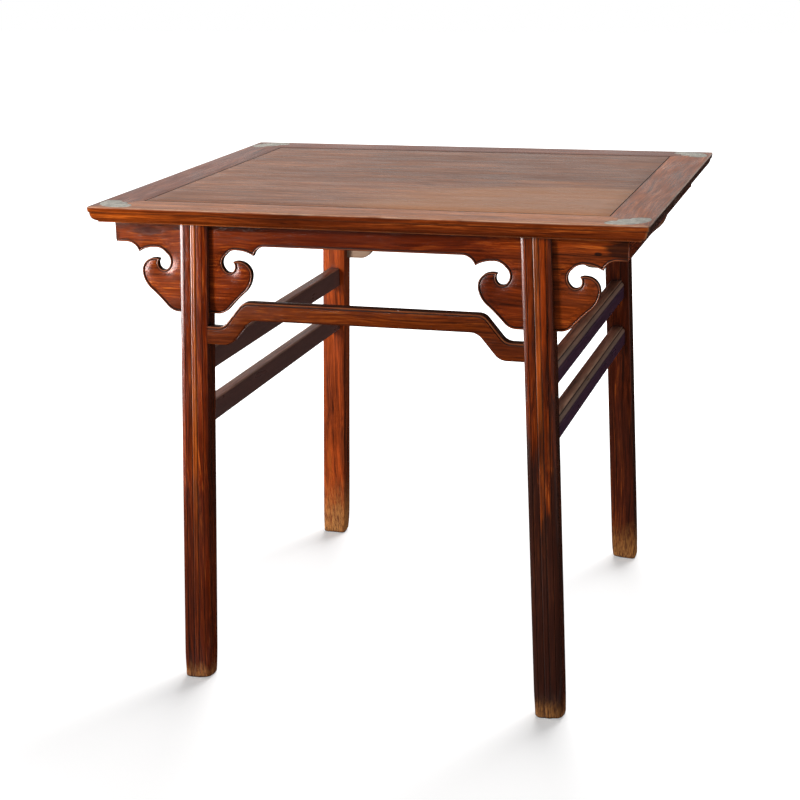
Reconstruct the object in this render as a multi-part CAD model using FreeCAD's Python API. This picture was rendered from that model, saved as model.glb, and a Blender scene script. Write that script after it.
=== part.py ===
import FreeCAD, Part
import math
import os
from FreeCAD import Vector

# Hardwood table of recessed-leg form.  Splayed legs clamp full-width aprons that
# are cut with cloud-head spandrels, humpback stretchers run across the front
# and back, and pairs of plain stretchers run along each side.  The top is a
# mitred frame around a floating panel carried on dovetailed battens, and it is
# a little longer than it is deep.
#
# Millimetres.  Origin at floor level under the middle of the top, +Z up,
# +X along the longer side of the top, -Y towards the front.

# ---------------------------------------------------------------- whole table
table_height = 860.0
top_length = 960.0
top_depth = 820.0
top_thickness = 28.0

# ------------------------------------------------------------------ top frame
frame_width = 75.0
corner_tenon_start = 20.0      # from the outer edge to the tenon's near cheek
corner_tenon_width = 30.0
corner_tenon_thickness = 9.0
corner_tenon_height = 8.0      # underside of the tenon above the frame's underside
corner_tenon_stop = 16.0       # wood left between the tenon's end and the outer edge

# Outer edge moulding: a rounded band over a hollow that runs in to a foot.
edge_round = 2.5
edge_band_height = 9.5
edge_band_bulge = 1.2
edge_quirk = 2.2
edge_hollow_inset = 6.0
edge_hollow_foot = 8.0         # above the underside
edge_hollow_bow = 0.6          # how far the lower curves swell or dip
edge_foot_inset = 14.5
edge_foot_height = 2.0

# ---------------------------------------------------------------------- panel
panel_thickness = 14.0
panel_gap = 1.0                # dark line between panel and frame
panel_tongue_thickness = 7.0
panel_tongue_length = 9.0
board_joint = 5.0              # tongue and groove along the middle of the panel
board_joint_thickness = 4.0

batten_count = 3
batten_end_distance = 155.0    # from the frame to the middle of the outer battens
batten_width = 42.0
batten_setback = 2.0           # batten's underside above the frame's underside
batten_dovetail_depth = 4.0
batten_dovetail_neck = 26.0
batten_dovetail_flare = 3.0
batten_tenon_length = 11.0
batten_tenon_width = 22.0
batten_tenon_shoulder = 2.5    # above and below the tenon

# ------------------------------------------------------------- corner inlays
inlay_thickness = 1.5
inlay_reach = 75.0             # from the corner of the top to a wing's end

# One half of the plate, from the hollow facing the corner out along a wing
# and back to the mitre line: a start, then pairs of a point on an arc and the
# arc's end.  Each point gives shares of the reach, along the wing and across.
inlay_template = [
    (0.267, 0.267),
    (0.347, 0.180), (0.480, 0.120),
    (0.693, 0.073), (0.893, 0.100),
    (0.987, 0.240), (0.933, 0.427),
    (0.867, 0.517), (0.760, 0.513),
    (0.773, 0.620), (0.707, 0.707),
]

# ----------------------------------------------------------------------- legs
leg_width = 49.0               # along X
leg_depth = 40.0               # along Y
leg_corner_radius = 3.5
leg_edge_bead = 8.0            # width of the bead down each edge of the face
leg_edge_fall = 4.0            # how far the edge bead rounds down to the leg's side
leg_centre_bead = 9.0          # width of the double bead down the middle
leg_centre_valley = 1.2        # depth between the two centre beads
leg_quirk_depth = 2.2          # depth of the sunk lines beside the beads
leg_flank_depth = 0.9          # depth of the rounded flanks between the beads
leg_top_inset_x = 185.3        # from the top's end to the leg's centre line
leg_top_inset_y = 42.6
leg_splay_x = 29.8             # how far the foot stands outside the leg's top
leg_splay_y = 17.2
leg_tenon_width = 30.0
leg_tenon_thickness = 6.0
leg_tenon_height = 12.0

# --------------------------------------------------------------------- aprons
apron_thickness = 12.0
apron_recess = 13.5            # from the leg's face back to the apron's face
apron_height = 36.5
apron_end_inset = 36.7         # from the top's end to the side apron's face

# Cloud-head spandrel, either side of the leg's centre line.
spandrel_drop = 119.5          # below the apron's lower edge
spandrel_reach = 101.0         # out from the leg's centre line

# The carver's template for one side of a spandrel: a start, then pairs of a
# point on an arc and the arc's end.  Each point gives how far out it is as a
# share of the reach, and how far down as a share of the drop.
spandrel_template = [
    (0.356, 1.000),
    (0.475, 0.977), (0.564, 0.921),     # heel
    (0.698, 0.801), (0.817, 0.705),     # slope
    (0.945, 0.583), (1.000, 0.427),     # lower half of the lobe
    (0.936, 0.286), (0.782, 0.225),     # upper half of the lobe
    (0.718, 0.225), (0.668, 0.237),     # tip of the curl
    (0.699, 0.289), (0.693, 0.331),     # underside of the curl
    (0.614, 0.394), (0.510, 0.354),     # floor of the eye
    (0.469, 0.272), (0.540, 0.146),     # side of the eye
    (0.634, 0.083), (0.757, 0.069),     # roof of the eye
    (0.906, 0.088), (1.040, 0.140),     # down to the cusp
    (1.122, 0.038), (1.257, 0.000),     # up to the plain edge
]

# -------------------------------------------------------- humpback stretchers
hump_height = 32.0             # of the rail itself
hump_depth = 19.0
hump_recess = 3.0              # behind the leg's face
hump_below_spandrel = 19.5     # from the spandrel's heel down to the rail's end
hump_rise = 45.0
hump_end_run = 30.0            # from the leg to the foot of the ramp, along the top
hump_ramp_run = 37.0
hump_ramp_offset = 11.5        # how much nearer the middle the ramp's underside is
hump_bend_radius = 22.0
hump_wide_bend_radius = 26.0
hump_tenon_length = 20.0
hump_tenon_thickness = 8.0
hump_tenon_height = 22.0

# ------------------------------------------------------------ side stretchers
side_rail_width = 27.0         # along X
side_rail_height = 38.0
side_rail_round = 3.0
upper_rail_below_hump = 19.5
side_rail_gap = 58.0           # between the upper and the lower stretcher
rail_tenon_length = 18.0
rail_tenon_thickness = 9.0
rail_tenon_height = 26.0

# ---------------------------------------------------------------------- fits
joint_clearance = 0.2          # round tenons, tongues and dovetails
past = 5.0                     # how far a cutting tool runs past what it cuts

# ------------------------------------------------------------- worked-out sizes
half_length = top_length / 2
half_depth = top_depth / 2
underside = table_height - top_thickness
slot_floor = underside - apron_height - spandrel_drop
apron_edge = underside - apron_height
hump_end_underside = slot_floor - hump_below_spandrel - hump_height
upper_rail_underside = hump_end_underside - upper_rail_below_hump - side_rail_height
lower_rail_underside = upper_rail_underside - side_rail_gap - side_rail_height
leg_top_x = half_length - leg_top_inset_x
leg_top_y = half_depth - leg_top_inset_y


# -------------------------------------------------------------------- helpers
def block(x0, x1, y0, y1, z0, z1):
    """A box between two corners."""
    return Part.makeBox(x1 - x0, y1 - y0, z1 - z0, Vector(x0, y0, z0))


def face_of(edges):
    """A flat face inside a closed run of edges."""
    return Part.Face(Part.Wire(edges))


def polygon(points):
    """A flat face with straight sides."""
    return Part.Face(Part.makePolygon(points + [points[0]]))


def line(start, end):
    return Part.LineSegment(start, end).toShape()


def arc(start, through, end):
    return Part.Arc(start, through, end).toShape()


def rounded_section(width, height, radius):
    """The corner arcs of a rounded rectangle, each as three 2-D points."""
    w = width / 2
    h = height / 2
    k = radius * (1 - math.sqrt(0.5))
    steps = []
    for sx, sy in ((1, -1), (1, 1), (-1, 1), (-1, -1)):
        along = (sx * (w - radius), sy * h)
        across = (sx * w, sy * (h - radius))
        middle = (sx * (w - k), sy * (h - k))
        first, last = (along, across) if sx * sy < 0 else (across, along)
        steps.append((first, middle, last))
    return steps


def section_face(steps, place):
    """The face of a rounded section, with place turning a 2-D point into 3-D."""
    edges = []
    for i, (first, middle, last) in enumerate(steps):
        edges.append(arc(place(*first), place(*middle), place(*last)))
        following = steps[(i + 1) % len(steps)][0]
        edges.append(line(place(*last), place(*following)))
    return face_of(edges)


def grown(x0, x1, y0, y1, z0, z1, by):
    """A box enlarged on every side, to cut a hole that clears a tenon."""
    return block(x0 - by, x1 + by, y0 - by, y1 + by, z0 - by, z1 + by)


def mirrored_x(shape):
    return shape.mirror(Vector(0, 0, 0), Vector(1, 0, 0))


def mirrored_y(shape):
    return shape.mirror(Vector(0, 0, 0), Vector(0, 1, 0))


def save(name, shape):
    """Check one node's solids and write them as a STEP file."""
    if not shape.isValid() or not shape.Solids:
        raise ValueError("bad shape in " + name)
    if len(shape.Solids) == 1:
        shape = shape.Solids[0]
    shape.exportStep("parts/" + name + ".step")


# ----------------------------------------------------------------- leg's place
def leg_centre(z):
    """Centre of the front right leg's section at a height."""
    outward = 1 - z / underside
    return leg_top_x + leg_splay_x * outward, -(leg_top_y + leg_splay_y * outward)


def leg_front(z):
    return leg_centre(z)[1] - leg_depth / 2


slot_middle = (slot_floor + underside) / 2
apron_front = leg_front(slot_middle) + apron_recess
apron_back = apron_front + apron_thickness
apron_end = half_length - apron_end_inset
spandrel_axis = leg_centre(slot_middle)[0]

hump_middle_height = hump_end_underside + hump_height / 2
hump_front = leg_front(hump_middle_height) + hump_recess
hump_back = hump_front + hump_depth


# ------------------------------------------------------------------------ legs
def leg_moulding():
    """The moulded face of a leg from its left edge to its right, as triples of
    points (across, depth) that each make an arc."""
    edge = leg_width / 2
    bead = edge - leg_edge_bead
    centre = leg_centre_bead / 2
    right = [
        ((0, leg_centre_valley), (centre / 2, 0), (centre, leg_quirk_depth)),
        ((centre, leg_quirk_depth), ((centre + bead) / 2, leg_flank_depth), (bead, leg_quirk_depth)),
        ((bead, leg_quirk_depth), (edge - leg_edge_bead / 2, 0), (edge, leg_edge_fall)),
    ]
    left = [tuple((-x, depth) for x, depth in run[::-1]) for run in right[::-1]]
    return left + right


def leg_body():
    """The front right leg before its joints are cut."""
    foot_x, foot_y = leg_centre(0)

    def place(x, depth):
        return Vector(foot_x + x, foot_y - leg_depth / 2 + depth, 0)

    edge = leg_width / 2
    soft = leg_depth - leg_corner_radius
    inward = edge - leg_corner_radius
    k = leg_corner_radius * (1 - math.sqrt(0.5))
    edges = [arc(*(place(*point) for point in run)) for run in leg_moulding()]
    edges += [
        line(place(edge, leg_edge_fall), place(edge, soft)),
        arc(place(edge, soft), place(edge - k, leg_depth - k), place(inward, leg_depth)),
        line(place(inward, leg_depth), place(-inward, leg_depth)),
        arc(place(-inward, leg_depth), place(k - edge, leg_depth - k), place(-edge, soft)),
        line(place(-edge, soft), place(-edge, leg_edge_fall)),
    ]
    return face_of(edges).extrude(Vector(-leg_splay_x, leg_splay_y, underside))


def leg_tenons():
    """Boxes of the two tenons on the leg's top, one on each cheek."""
    top_x, top_y = leg_centre(underside)
    cheeks = ((top_y - leg_depth / 2, apron_front), (apron_back, top_y + leg_depth / 2))
    boxes = []
    for near, far in cheeks:
        middle = (near + far) / 2
        boxes.append((top_x - leg_tenon_width / 2, top_x + leg_tenon_width / 2,
                      middle - leg_tenon_thickness / 2, middle + leg_tenon_thickness / 2,
                      underside, underside + leg_tenon_height))
    return boxes


def hump_tenon():
    """Box of the humpback stretcher's tenon in the front right leg."""
    inner = leg_centre(hump_middle_height)[0] - leg_width / 2
    middle_y = (hump_front + hump_back) / 2
    return (inner - past, inner + hump_tenon_length,
            middle_y - hump_tenon_thickness / 2, middle_y + hump_tenon_thickness / 2,
            hump_middle_height - hump_tenon_height / 2,
            hump_middle_height + hump_tenon_height / 2)


def rail_tenon(rail_underside):
    """Box of a side stretcher's tenon in the front right leg."""
    middle_z = rail_underside + side_rail_height / 2
    middle_x, centre_y = leg_centre(middle_z)
    inner = centre_y + leg_depth / 2
    return (middle_x - rail_tenon_thickness / 2, middle_x + rail_tenon_thickness / 2,
            inner - rail_tenon_length, inner + past,
            middle_z - rail_tenon_height / 2, middle_z + rail_tenon_height / 2)


def make_leg():
    """The front right leg: bridle slot, top tenons and mortises."""
    reach = leg_width + leg_splay_x
    leg = leg_body()
    leg = leg.cut(block(spandrel_axis - reach, spandrel_axis + reach,
                        apron_front - joint_clearance, apron_back + joint_clearance,
                        slot_floor, underside + past))
    for box in leg_tenons():
        x0, x1, y0, y1, z0, z1 = box
        leg = leg.fuse(block(x0, x1, y0, y1, z0 - past, z1))
    for box in (hump_tenon(), rail_tenon(upper_rail_underside), rail_tenon(lower_rail_underside)):
        leg = leg.cut(grown(*box, joint_clearance))
    return leg.removeSplitter()


# ---------------------------------------------------------------------- aprons
def spandrel_edges(side, place):
    """The carved edge from the spandrel's heel out to the apron's plain edge,
    on one side of the leg.  side is 1 or -1; place gives a 3-D point from a
    distance out from the leg's centre line and a height from the apron's edge."""
    points = [place(side * out * spandrel_reach, -down * spandrel_drop)
              for out, down in spandrel_template]
    edges = [arc(*points[i:i + 3]) for i in range(0, len(points) - 2, 2)]
    return edges if side > 0 else [arc(*points[i:i + 3][::-1])
                                   for i in range(len(points) - 3, -1, -2)]


def make_front_apron():
    """One board: the apron across the front with a spandrel round each leg."""
    def at(x, z):
        return Vector(x, apron_front, z)

    edges = []
    last = at(-apron_end, apron_edge)
    for axis in (-spandrel_axis, spandrel_axis):
        def place(d, h, axis=axis):
            return at(axis + d, apron_edge + h)
        left = spandrel_edges(-1, place)
        right = spandrel_edges(1, place)
        edges.append(line(last, left[0].valueAt(left[0].FirstParameter)))
        heel = left[-1].valueAt(left[-1].LastParameter)
        edges += left
        edges.append(line(heel, right[0].valueAt(right[0].FirstParameter)))
        edges += right
        last = right[-1].valueAt(right[-1].LastParameter)
    edges.append(line(last, at(apron_end, apron_edge)))
    edges.append(line(at(apron_end, apron_edge), at(apron_end, underside)))
    edges.append(line(at(apron_end, underside), at(-apron_end, underside)))
    edges.append(line(at(-apron_end, underside), at(-apron_end, apron_edge)))
    board = face_of(edges).extrude(Vector(0, apron_thickness, 0))
    for side in (-1, 1):
        board = board.cut(mitre_wedge(side))
    return board


def mitre_wedge(side):
    """What the mitre takes off the back of the front apron's end."""
    corner = Vector(side * apron_end, apron_front, apron_edge - past)
    inner = Vector(side * (apron_end - apron_thickness), apron_back, corner.z)
    beyond = Vector(side * (apron_end + apron_thickness), apron_back, corner.z)
    outer = Vector(side * (apron_end + apron_thickness), apron_front, corner.z)
    wedge = polygon([corner, inner, beyond, outer])
    return wedge.extrude(Vector(0, 0, apron_height + 2 * past))


def make_side_apron():
    """The right-hand apron, mitred to the front and back aprons."""
    outer = apron_end
    inner = apron_end - apron_thickness
    corners = [(outer, apron_front), (outer, -apron_front), (inner, -apron_back), (inner, apron_back)]
    plan = polygon([Vector(x, y, apron_edge) for x, y in corners])
    return plan.extrude(Vector(0, 0, apron_height))


# ---------------------------------------------------------- humpback stretcher
def rounded_path(points):
    """Edges through corner points (x, y, z, radius), each corner rounded."""
    edges = []
    last = Vector(*points[0][:3])
    for before, corner, after in zip(points, points[1:], points[2:]):
        here = Vector(*corner[:3])
        back = (Vector(*before[:3]) - here).normalize()
        on = (Vector(*after[:3]) - here).normalize()
        half = back.getAngle(on) / 2
        setback = corner[3] / math.tan(half)
        start = here + back * setback
        end = here + on * setback
        bisector = (back + on).normalize()
        through = here + bisector * (corner[3] / math.sin(half) - corner[3])
        edges.append(line(last, start))
        edges.append(arc(start, through, end))
        last = end
    edges.append(line(last, Vector(*points[-1][:3])))
    return edges


def make_humpback():
    """The front humpback stretcher, shouldered against the two front legs."""
    reach = leg_centre(hump_middle_height)[0]
    foot = reach - leg_width / 2 - hump_end_run
    head = foot - hump_ramp_run

    def path(inward, low, foot_radius, head_radius):
        """One long edge, with its ramps moved towards the middle by inward."""
        corners = [(reach, low, 0), (foot - inward, low, foot_radius),
                   (head - inward, low + hump_rise, head_radius)]
        corners = [(-x, z, r) for x, z, r in corners] + corners[::-1]
        return rounded_path([(x, hump_front, z, r) for x, z, r in corners])

    low_top = hump_end_underside + hump_height
    upper = path(0, low_top, hump_bend_radius, hump_bend_radius)
    lower = path(hump_ramp_offset, hump_end_underside, hump_wide_bend_radius, hump_wide_bend_radius)
    ends = [line(Vector(s * reach, hump_front, low_top), Vector(s * reach, hump_front, hump_end_underside))
            for s in (-1, 1)]
    outline = Part.Wire(Part.__sortEdges__(upper + lower + ends))
    rail = Part.Face(outline).extrude(Vector(0, hump_depth, 0))
    leg = leg_body()
    tenon = block(*hump_tenon())
    for neighbour in (leg, mirrored_x(leg)):
        rail = rail.cut(neighbour)
    for peg in (tenon, mirrored_x(tenon)):
        rail = rail.fuse(peg)
    return rail.removeSplitter()


# ------------------------------------------------------------- side stretchers
def make_side_rail(rail_underside):
    """A plain stretcher between the right-hand legs."""
    middle_z = rail_underside + side_rail_height / 2
    middle_x, centre_y = leg_centre(middle_z)
    steps = rounded_section(side_rail_width, side_rail_height, side_rail_round)
    end = section_face(steps, lambda x, z: Vector(middle_x + x, centre_y, middle_z + z))
    rail = end.extrude(Vector(0, -2 * centre_y, 0))
    leg = leg_body()
    tenon = block(*rail_tenon(rail_underside))
    for neighbour in (leg, mirrored_y(leg)):
        rail = rail.cut(neighbour)
    for peg in (tenon, mirrored_y(tenon)):
        rail = rail.fuse(peg)
    return rail.removeSplitter()


# ------------------------------------------------------------------- top frame
def edge_profile(place):
    """Edges of a frame member's section.  place gives a 3-D point from a
    distance in from the outer edge and a height above the underside."""
    t = top_thickness
    band_foot = t - edge_band_height
    hollow_foot = edge_hollow_foot
    k = edge_round * (1 - math.sqrt(0.5))
    crown = place(edge_round, t)
    shoulder = place(0, t - edge_round)
    under_band = place(edge_band_bulge, band_foot)
    quirk = place(edge_band_bulge + edge_quirk, band_foot)
    waist = place(edge_hollow_inset, hollow_foot)
    foot = place(edge_foot_inset, edge_foot_height)
    toe = place(edge_foot_inset, 0)
    inner_low = place(frame_width, 0)
    inner_high = place(frame_width, t)
    return [
        line(inner_high, crown),
        arc(crown, place(k, t - k), shoulder),
        arc(shoulder, place(edge_band_bulge / 4, (t - edge_round + band_foot) / 2), under_band),
        line(under_band, quirk),
        arc(quirk, place(edge_band_bulge + edge_quirk + edge_hollow_bow,
                         (band_foot + hollow_foot) / 2), waist),
        arc(waist, place((edge_hollow_inset + edge_foot_inset) / 2 - edge_hollow_bow,
                         (hollow_foot + edge_foot_height) / 2 - edge_hollow_bow), foot),
        line(foot, toe),
        line(toe, inner_low),
        line(inner_low, inner_high),
    ]


def panel_groove_z():
    """Heights of the panel's underside and of the top of its tongue."""
    low = table_height - panel_thickness
    return low, low + panel_tongue_thickness


def front_corner_tenon():
    """Box of the front member's tenon in the right-hand member."""
    low = underside + corner_tenon_height
    return (half_length - frame_width, half_length - corner_tenon_stop,
            -half_depth + corner_tenon_start,
            -half_depth + corner_tenon_start + corner_tenon_width,
            low, low + corner_tenon_thickness)


def batten_tenon(x):
    """Box of a batten's tenon in the front member."""
    inner = -half_depth + frame_width
    low = underside + batten_setback + batten_tenon_shoulder
    high = table_height - panel_thickness - batten_tenon_shoulder
    return (x - batten_tenon_width / 2, x + batten_tenon_width / 2,
            inner - batten_tenon_length, inner + past, low, high)


def batten_places():
    first = -(half_length - frame_width - batten_end_distance)
    step = -2 * first / (batten_count - 1)
    return [first + i * step for i in range(batten_count)]


def mitred(member, sx, sy, towards_x):
    """A frame member cut along the mitre of one corner of the top, with what
    lies beyond the mitre along X, or otherwise along Y, taken off."""
    inner = frame_width + past
    base = underside - past
    outside = Vector(sx * (half_length + past), sy * (half_depth + past), base)
    inside = Vector(sx * (half_length - inner), sy * (half_depth - inner), base)
    beyond = Vector(outside.x, inside.y, base) if towards_x else Vector(inside.x, outside.y, base)
    waste = polygon([outside, inside, beyond]).extrude(Vector(0, 0, top_thickness + 2 * past))
    return member.cut(waste)


def make_front_member(inlays):
    """The front member of the top frame, with tenons at its mitred ends."""
    def place(inset, height):
        return Vector(-half_length, -half_depth + inset, underside + height)
    member = face_of(edge_profile(place)).extrude(Vector(top_length, 0, 0))
    member = mitred(mitred(member, 1, -1, True), -1, -1, True)
    low, high = panel_groove_z()
    inner = -half_depth + frame_width
    groove = block(-half_length, half_length, inner - panel_tongue_length - panel_gap, inner + past,
                   low, high + joint_clearance)
    member = member.cut(groove)
    tenon = block(*front_corner_tenon())
    for peg in (tenon, mirrored_x(tenon)):
        member = member.fuse(peg)
    for x in batten_places():
        member = member.cut(grown(*batten_tenon(x), joint_clearance))
    for box in leg_tenons():
        mortise = grown(*box, joint_clearance)
        member = member.cut(mortise).cut(mirrored_x(mortise))
    for inlay in inlays:
        member = member.cut(inlay)
    return member.removeSplitter()


def make_right_member(inlays):
    """The right-hand member of the top frame, mortised at its mitred ends."""
    def place(inset, height):
        return Vector(half_length - inset, -half_depth, underside + height)
    member = face_of(edge_profile(place)).extrude(Vector(0, top_depth, 0))
    member = mitred(mitred(member, 1, -1, False), 1, 1, False)
    low, high = panel_groove_z()
    inner = half_length - frame_width
    member = member.cut(block(inner - past, inner + panel_tongue_length + panel_gap,
                              -half_depth, half_depth, low, high + joint_clearance))
    mortise = grown(*front_corner_tenon(), joint_clearance)
    member = member.cut(mortise).cut(mirrored_y(mortise))
    for inlay in inlays:
        member = member.cut(inlay)
    return member.removeSplitter()


# ----------------------------------------------------------------------- panel
def batten_dovetail(x, root, grow, half_run):
    """A batten's dovetail, from a height root up into the panel, grown all
    round for its housing."""
    low = table_height - panel_thickness
    high = low + batten_dovetail_depth + grow
    neck = batten_dovetail_neck / 2 + grow
    wide = neck + batten_dovetail_flare
    corners = [(-neck, root), (-neck, low), (-wide, high), (wide, high), (neck, low), (neck, root)]
    end = polygon([Vector(x + across, -half_run, z) for across, z in corners])
    return end.extrude(Vector(0, 2 * half_run, 0))


def make_panel_board(front):
    """The front or back half of the panel, tongued round its edge and housed
    for the battens.  The front half holds the groove of the middle joint."""
    low, tongue_top = panel_groove_z()
    face_x = half_length - frame_width - panel_gap
    face_y = half_depth - frame_width - panel_gap
    edge_x = face_x + panel_tongue_length
    edge_y = face_y + panel_tongue_length
    y0, y1 = (-face_y, 0) if front else (0, face_y)
    t0, t1 = (-edge_y, 0) if front else (0, edge_y)
    board = block(-face_x, face_x, y0, y1, low, table_height)
    board = board.fuse(block(-edge_x, edge_x, t0, t1, low, tongue_top))
    joint_z = (low + table_height - board_joint_thickness) / 2 + batten_dovetail_depth / 2
    tongue = (-face_x, face_x, -board_joint, 0, joint_z, joint_z + board_joint_thickness)
    if front:
        cut = block(tongue[0] - past, tongue[1] + past, tongue[2] - joint_clearance, past,
                    tongue[4] - joint_clearance / 2, tongue[5] + joint_clearance / 2)
        board = board.cut(cut)
    else:
        board = board.fuse(block(*tongue))
    for x in batten_places():
        board = board.cut(batten_dovetail(x, low - past, joint_clearance, half_depth))
    return board.removeSplitter()


def make_batten(x):
    """A batten under the panel, dovetailed into it and tenoned at both ends."""
    inner = half_depth - frame_width
    low = underside + batten_setback
    top = table_height - panel_thickness
    batten = block(x - batten_width / 2, x + batten_width / 2, -inner, inner, low, top)
    batten = batten.fuse(batten_dovetail(x, low, 0, inner - panel_gap))
    tenon = block(*batten_tenon(x))
    for peg in (tenon, mirrored_y(tenon)):
        batten = batten.fuse(peg)
    return batten.removeSplitter()


# --------------------------------------------------------------- corner inlays
def make_inlay():
    """The cloud-shaped metal plate let into the front right corner, across
    the mitre.  It is the same about the mitre line."""
    half = [(along * inlay_reach, across * inlay_reach) for along, across in inlay_template]
    other = [(across, along) for along, across in half]

    def place(p, q):
        return Vector(half_length - p, -half_depth + q, table_height - inlay_thickness)

    outline = half + other[-2::-1]
    edges = [arc(*(place(p, q) for p, q in outline[i:i + 3])) for i in range(0, len(outline) - 2, 2)]
    return face_of(edges).extrude(Vector(0, 0, inlay_thickness))


# -------------------------------------------------------------------- assembly
def build():
    os.makedirs("parts", exist_ok=True)

    inlay = make_inlay()
    inlays = {"front_right": inlay, "front_left": mirrored_x(inlay)}
    inlays["back_right"] = mirrored_y(inlay)
    inlays["back_left"] = mirrored_y(inlays["front_left"])
    for corner, plate in inlays.items():
        save("corner_inlay_" + corner, plate)

    plates = list(inlays.values())
    front_member = make_front_member(plates)
    right_member = make_right_member(plates)
    save("top_frame_front", front_member)
    save("top_frame_back", mirrored_y(front_member))
    save("top_frame_right", right_member)
    save("top_frame_left", mirrored_x(right_member))

    save("panel_board_front", make_panel_board(True))
    save("panel_board_back", make_panel_board(False))
    for i, x in enumerate(batten_places()):
        save("panel_batten_" + str(i + 1), make_batten(x))

    leg = make_leg()
    save("leg_front_right", leg)
    save("leg_front_left", mirrored_x(leg))
    save("leg_back_right", mirrored_y(leg))
    save("leg_back_left", mirrored_y(mirrored_x(leg)))

    apron = make_front_apron()
    side_apron = make_side_apron()
    save("apron_front", apron)
    save("apron_back", mirrored_y(apron))
    save("apron_right", side_apron)
    save("apron_left", mirrored_x(side_apron))

    humpback = make_humpback()
    save("humpback_stretcher_front", humpback)
    save("humpback_stretcher_back", mirrored_y(humpback))

    for level, rail_underside in (("upper", upper_rail_underside), ("lower", lower_rail_underside)):
        rail = make_side_rail(rail_underside)
        save("side_stretcher_right_" + level, rail)
        save("side_stretcher_left_" + level, mirrored_x(rail))


build()
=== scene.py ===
"""Hardwood table of recessed-leg form: its shaped and finished pieces, and a plain studio."""

import math

import bmesh
import bpy
import numpy as np
from bpy.props import FloatProperty, FloatVectorProperty, PointerProperty
from bpy.types import Operator, Panel, PropertyGroup
from mathutils import Matrix, Vector, noise
from mathutils.geometry import delaunay_2d_cdt


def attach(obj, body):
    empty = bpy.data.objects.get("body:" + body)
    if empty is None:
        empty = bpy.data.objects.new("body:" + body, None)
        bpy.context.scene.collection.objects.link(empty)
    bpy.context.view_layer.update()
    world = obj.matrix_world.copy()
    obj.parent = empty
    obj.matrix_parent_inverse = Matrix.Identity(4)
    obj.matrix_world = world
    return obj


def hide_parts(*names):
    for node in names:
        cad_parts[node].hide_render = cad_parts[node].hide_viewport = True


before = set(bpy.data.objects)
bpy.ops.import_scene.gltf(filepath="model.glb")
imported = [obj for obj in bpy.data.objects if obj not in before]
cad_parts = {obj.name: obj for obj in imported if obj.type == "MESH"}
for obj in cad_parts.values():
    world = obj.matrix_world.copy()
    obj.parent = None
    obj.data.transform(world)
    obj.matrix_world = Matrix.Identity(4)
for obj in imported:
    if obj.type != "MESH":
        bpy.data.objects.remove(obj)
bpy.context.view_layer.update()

bl_info = {
    "name": "Hardwood Table",
    "version": (1, 0, 0),
    "blender": (4, 5, 0),
    "location": "View3D > Sidebar > Table",
    "description": "Shapes and finishes the pieces of a table with cloud-head spandrels",
    "category": "Object",
}

MM = 0.001

# Heights and places that the joinery fixes, in metres.
TOP_Z = 0.860
UNDERSIDE = 0.832
HALF_LENGTH = 0.480
HALF_DEPTH = 0.410
FRAME_WIDTH = 0.075
LEG_TOP = (0.2947, 0.3674)
LEG_SPLAY = (0.0298, 0.0172)
SLOT_FLOOR = 0.676
APRON_EDGE = 0.7955
APRON_FRONT = -0.375521
APRON_THICKNESS = 0.012
APRON_END = 0.4433
SPANDREL_AXIS = 0.297494
HUMP_END = 0.6245
HUMP_FRONT = -0.388357
UPPER_RAIL = 0.567
LOWER_RAIL = 0.471
CLEARANCE = 0.0002
SHOULDER_GAP = 0.15 * MM

# Half the thickness, half the height and the length of the stretchers' tenons.
HUMP_TENON = (4 * MM, 11 * MM, 20 * MM)
RAIL_TENON = (4.5 * MM, 13 * MM, 18 * MM)

# How far behind the moulded face the sunk line on a leg's side runs.
SIDE_LINE = 8.5 * MM


# ------------------------------------------------------------ sizes and colours
def length(name, description, default):
    """A length that the sidebar shows."""
    return FloatProperty(name=name, description=description, default=default,
                         min=0.0, unit="LENGTH", precision=4)


def colour(name, description, default):
    """A colour that the sidebar shows."""
    return FloatVectorProperty(name=name, description=description, default=(*default, 1.0),
                               min=0.0, max=1.0, size=4, subtype="COLOR")


def power(name, description, default):
    """A light's power that the sidebar shows."""
    return FloatProperty(name=name, description=description, default=default, min=0.0, unit="POWER")


class LegSettings(PropertyGroup):
    width: length("Width", "Across the moulded face of a leg", 49 * MM)
    depth: length("Depth", "From the moulded face to the back of a leg", 40 * MM)
    bead: length("Edge bead", "Width of the bead down each edge of the face", 8.5 * MM)
    centre_bead: length("Centre bead", "Width of the double bead down the middle", 10 * MM)
    sunk: length("Sunk line", "Depth of the sunk lines beside the beads", 1.5 * MM)
    corner: length("Back corner", "Radius of the two plain corners", 3.5 * MM)
    worn_height: length("Worn height", "How far up the foot the moulding has worn away", 26 * MM)
    foot_round: length("Foot round", "How far the rim of the foot is rounded", 4 * MM)


class ApronSettings(PropertyGroup):
    drop: length("Spandrel drop", "From the plain edge down to the heel of a spandrel", 119.5 * MM)
    reach: length("Spandrel reach", "From the leg's centre line out to a lobe", 101 * MM)
    bead: length("Edge bead", "Width of the bead along the carved edge", 2.5 * MM)
    swell: length("Swell", "How far the carved field rises from its edge", 3.2 * MM)
    shoulder: length("Shoulder", "How far in from the bead the field is rounded", 19 * MM)
    fineness: length("Fineness", "Spacing of the points along the carved edge", 1.3 * MM)


class StretcherSettings(PropertyGroup):
    hump_height: length("Humpback height", "Height of the humpback stretcher's rail", 32 * MM)
    hump_depth: length("Humpback depth", "Depth of the humpback stretcher", 19 * MM)
    hump_rise: length("Rise", "How far the middle stands above the ends", 45 * MM)
    rail_height: length("Side height", "Height of a side stretcher", 38 * MM)
    rail_width: length("Side width", "Width of a side stretcher", 27 * MM)
    bead: length("Humpback bead", "Height of the bead along a humpback's upper edge", 4.0 * MM)
    rail_bead: length("Side bead", "Height of the bead along a side stretcher's upper edge", 9.0 * MM)


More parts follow.
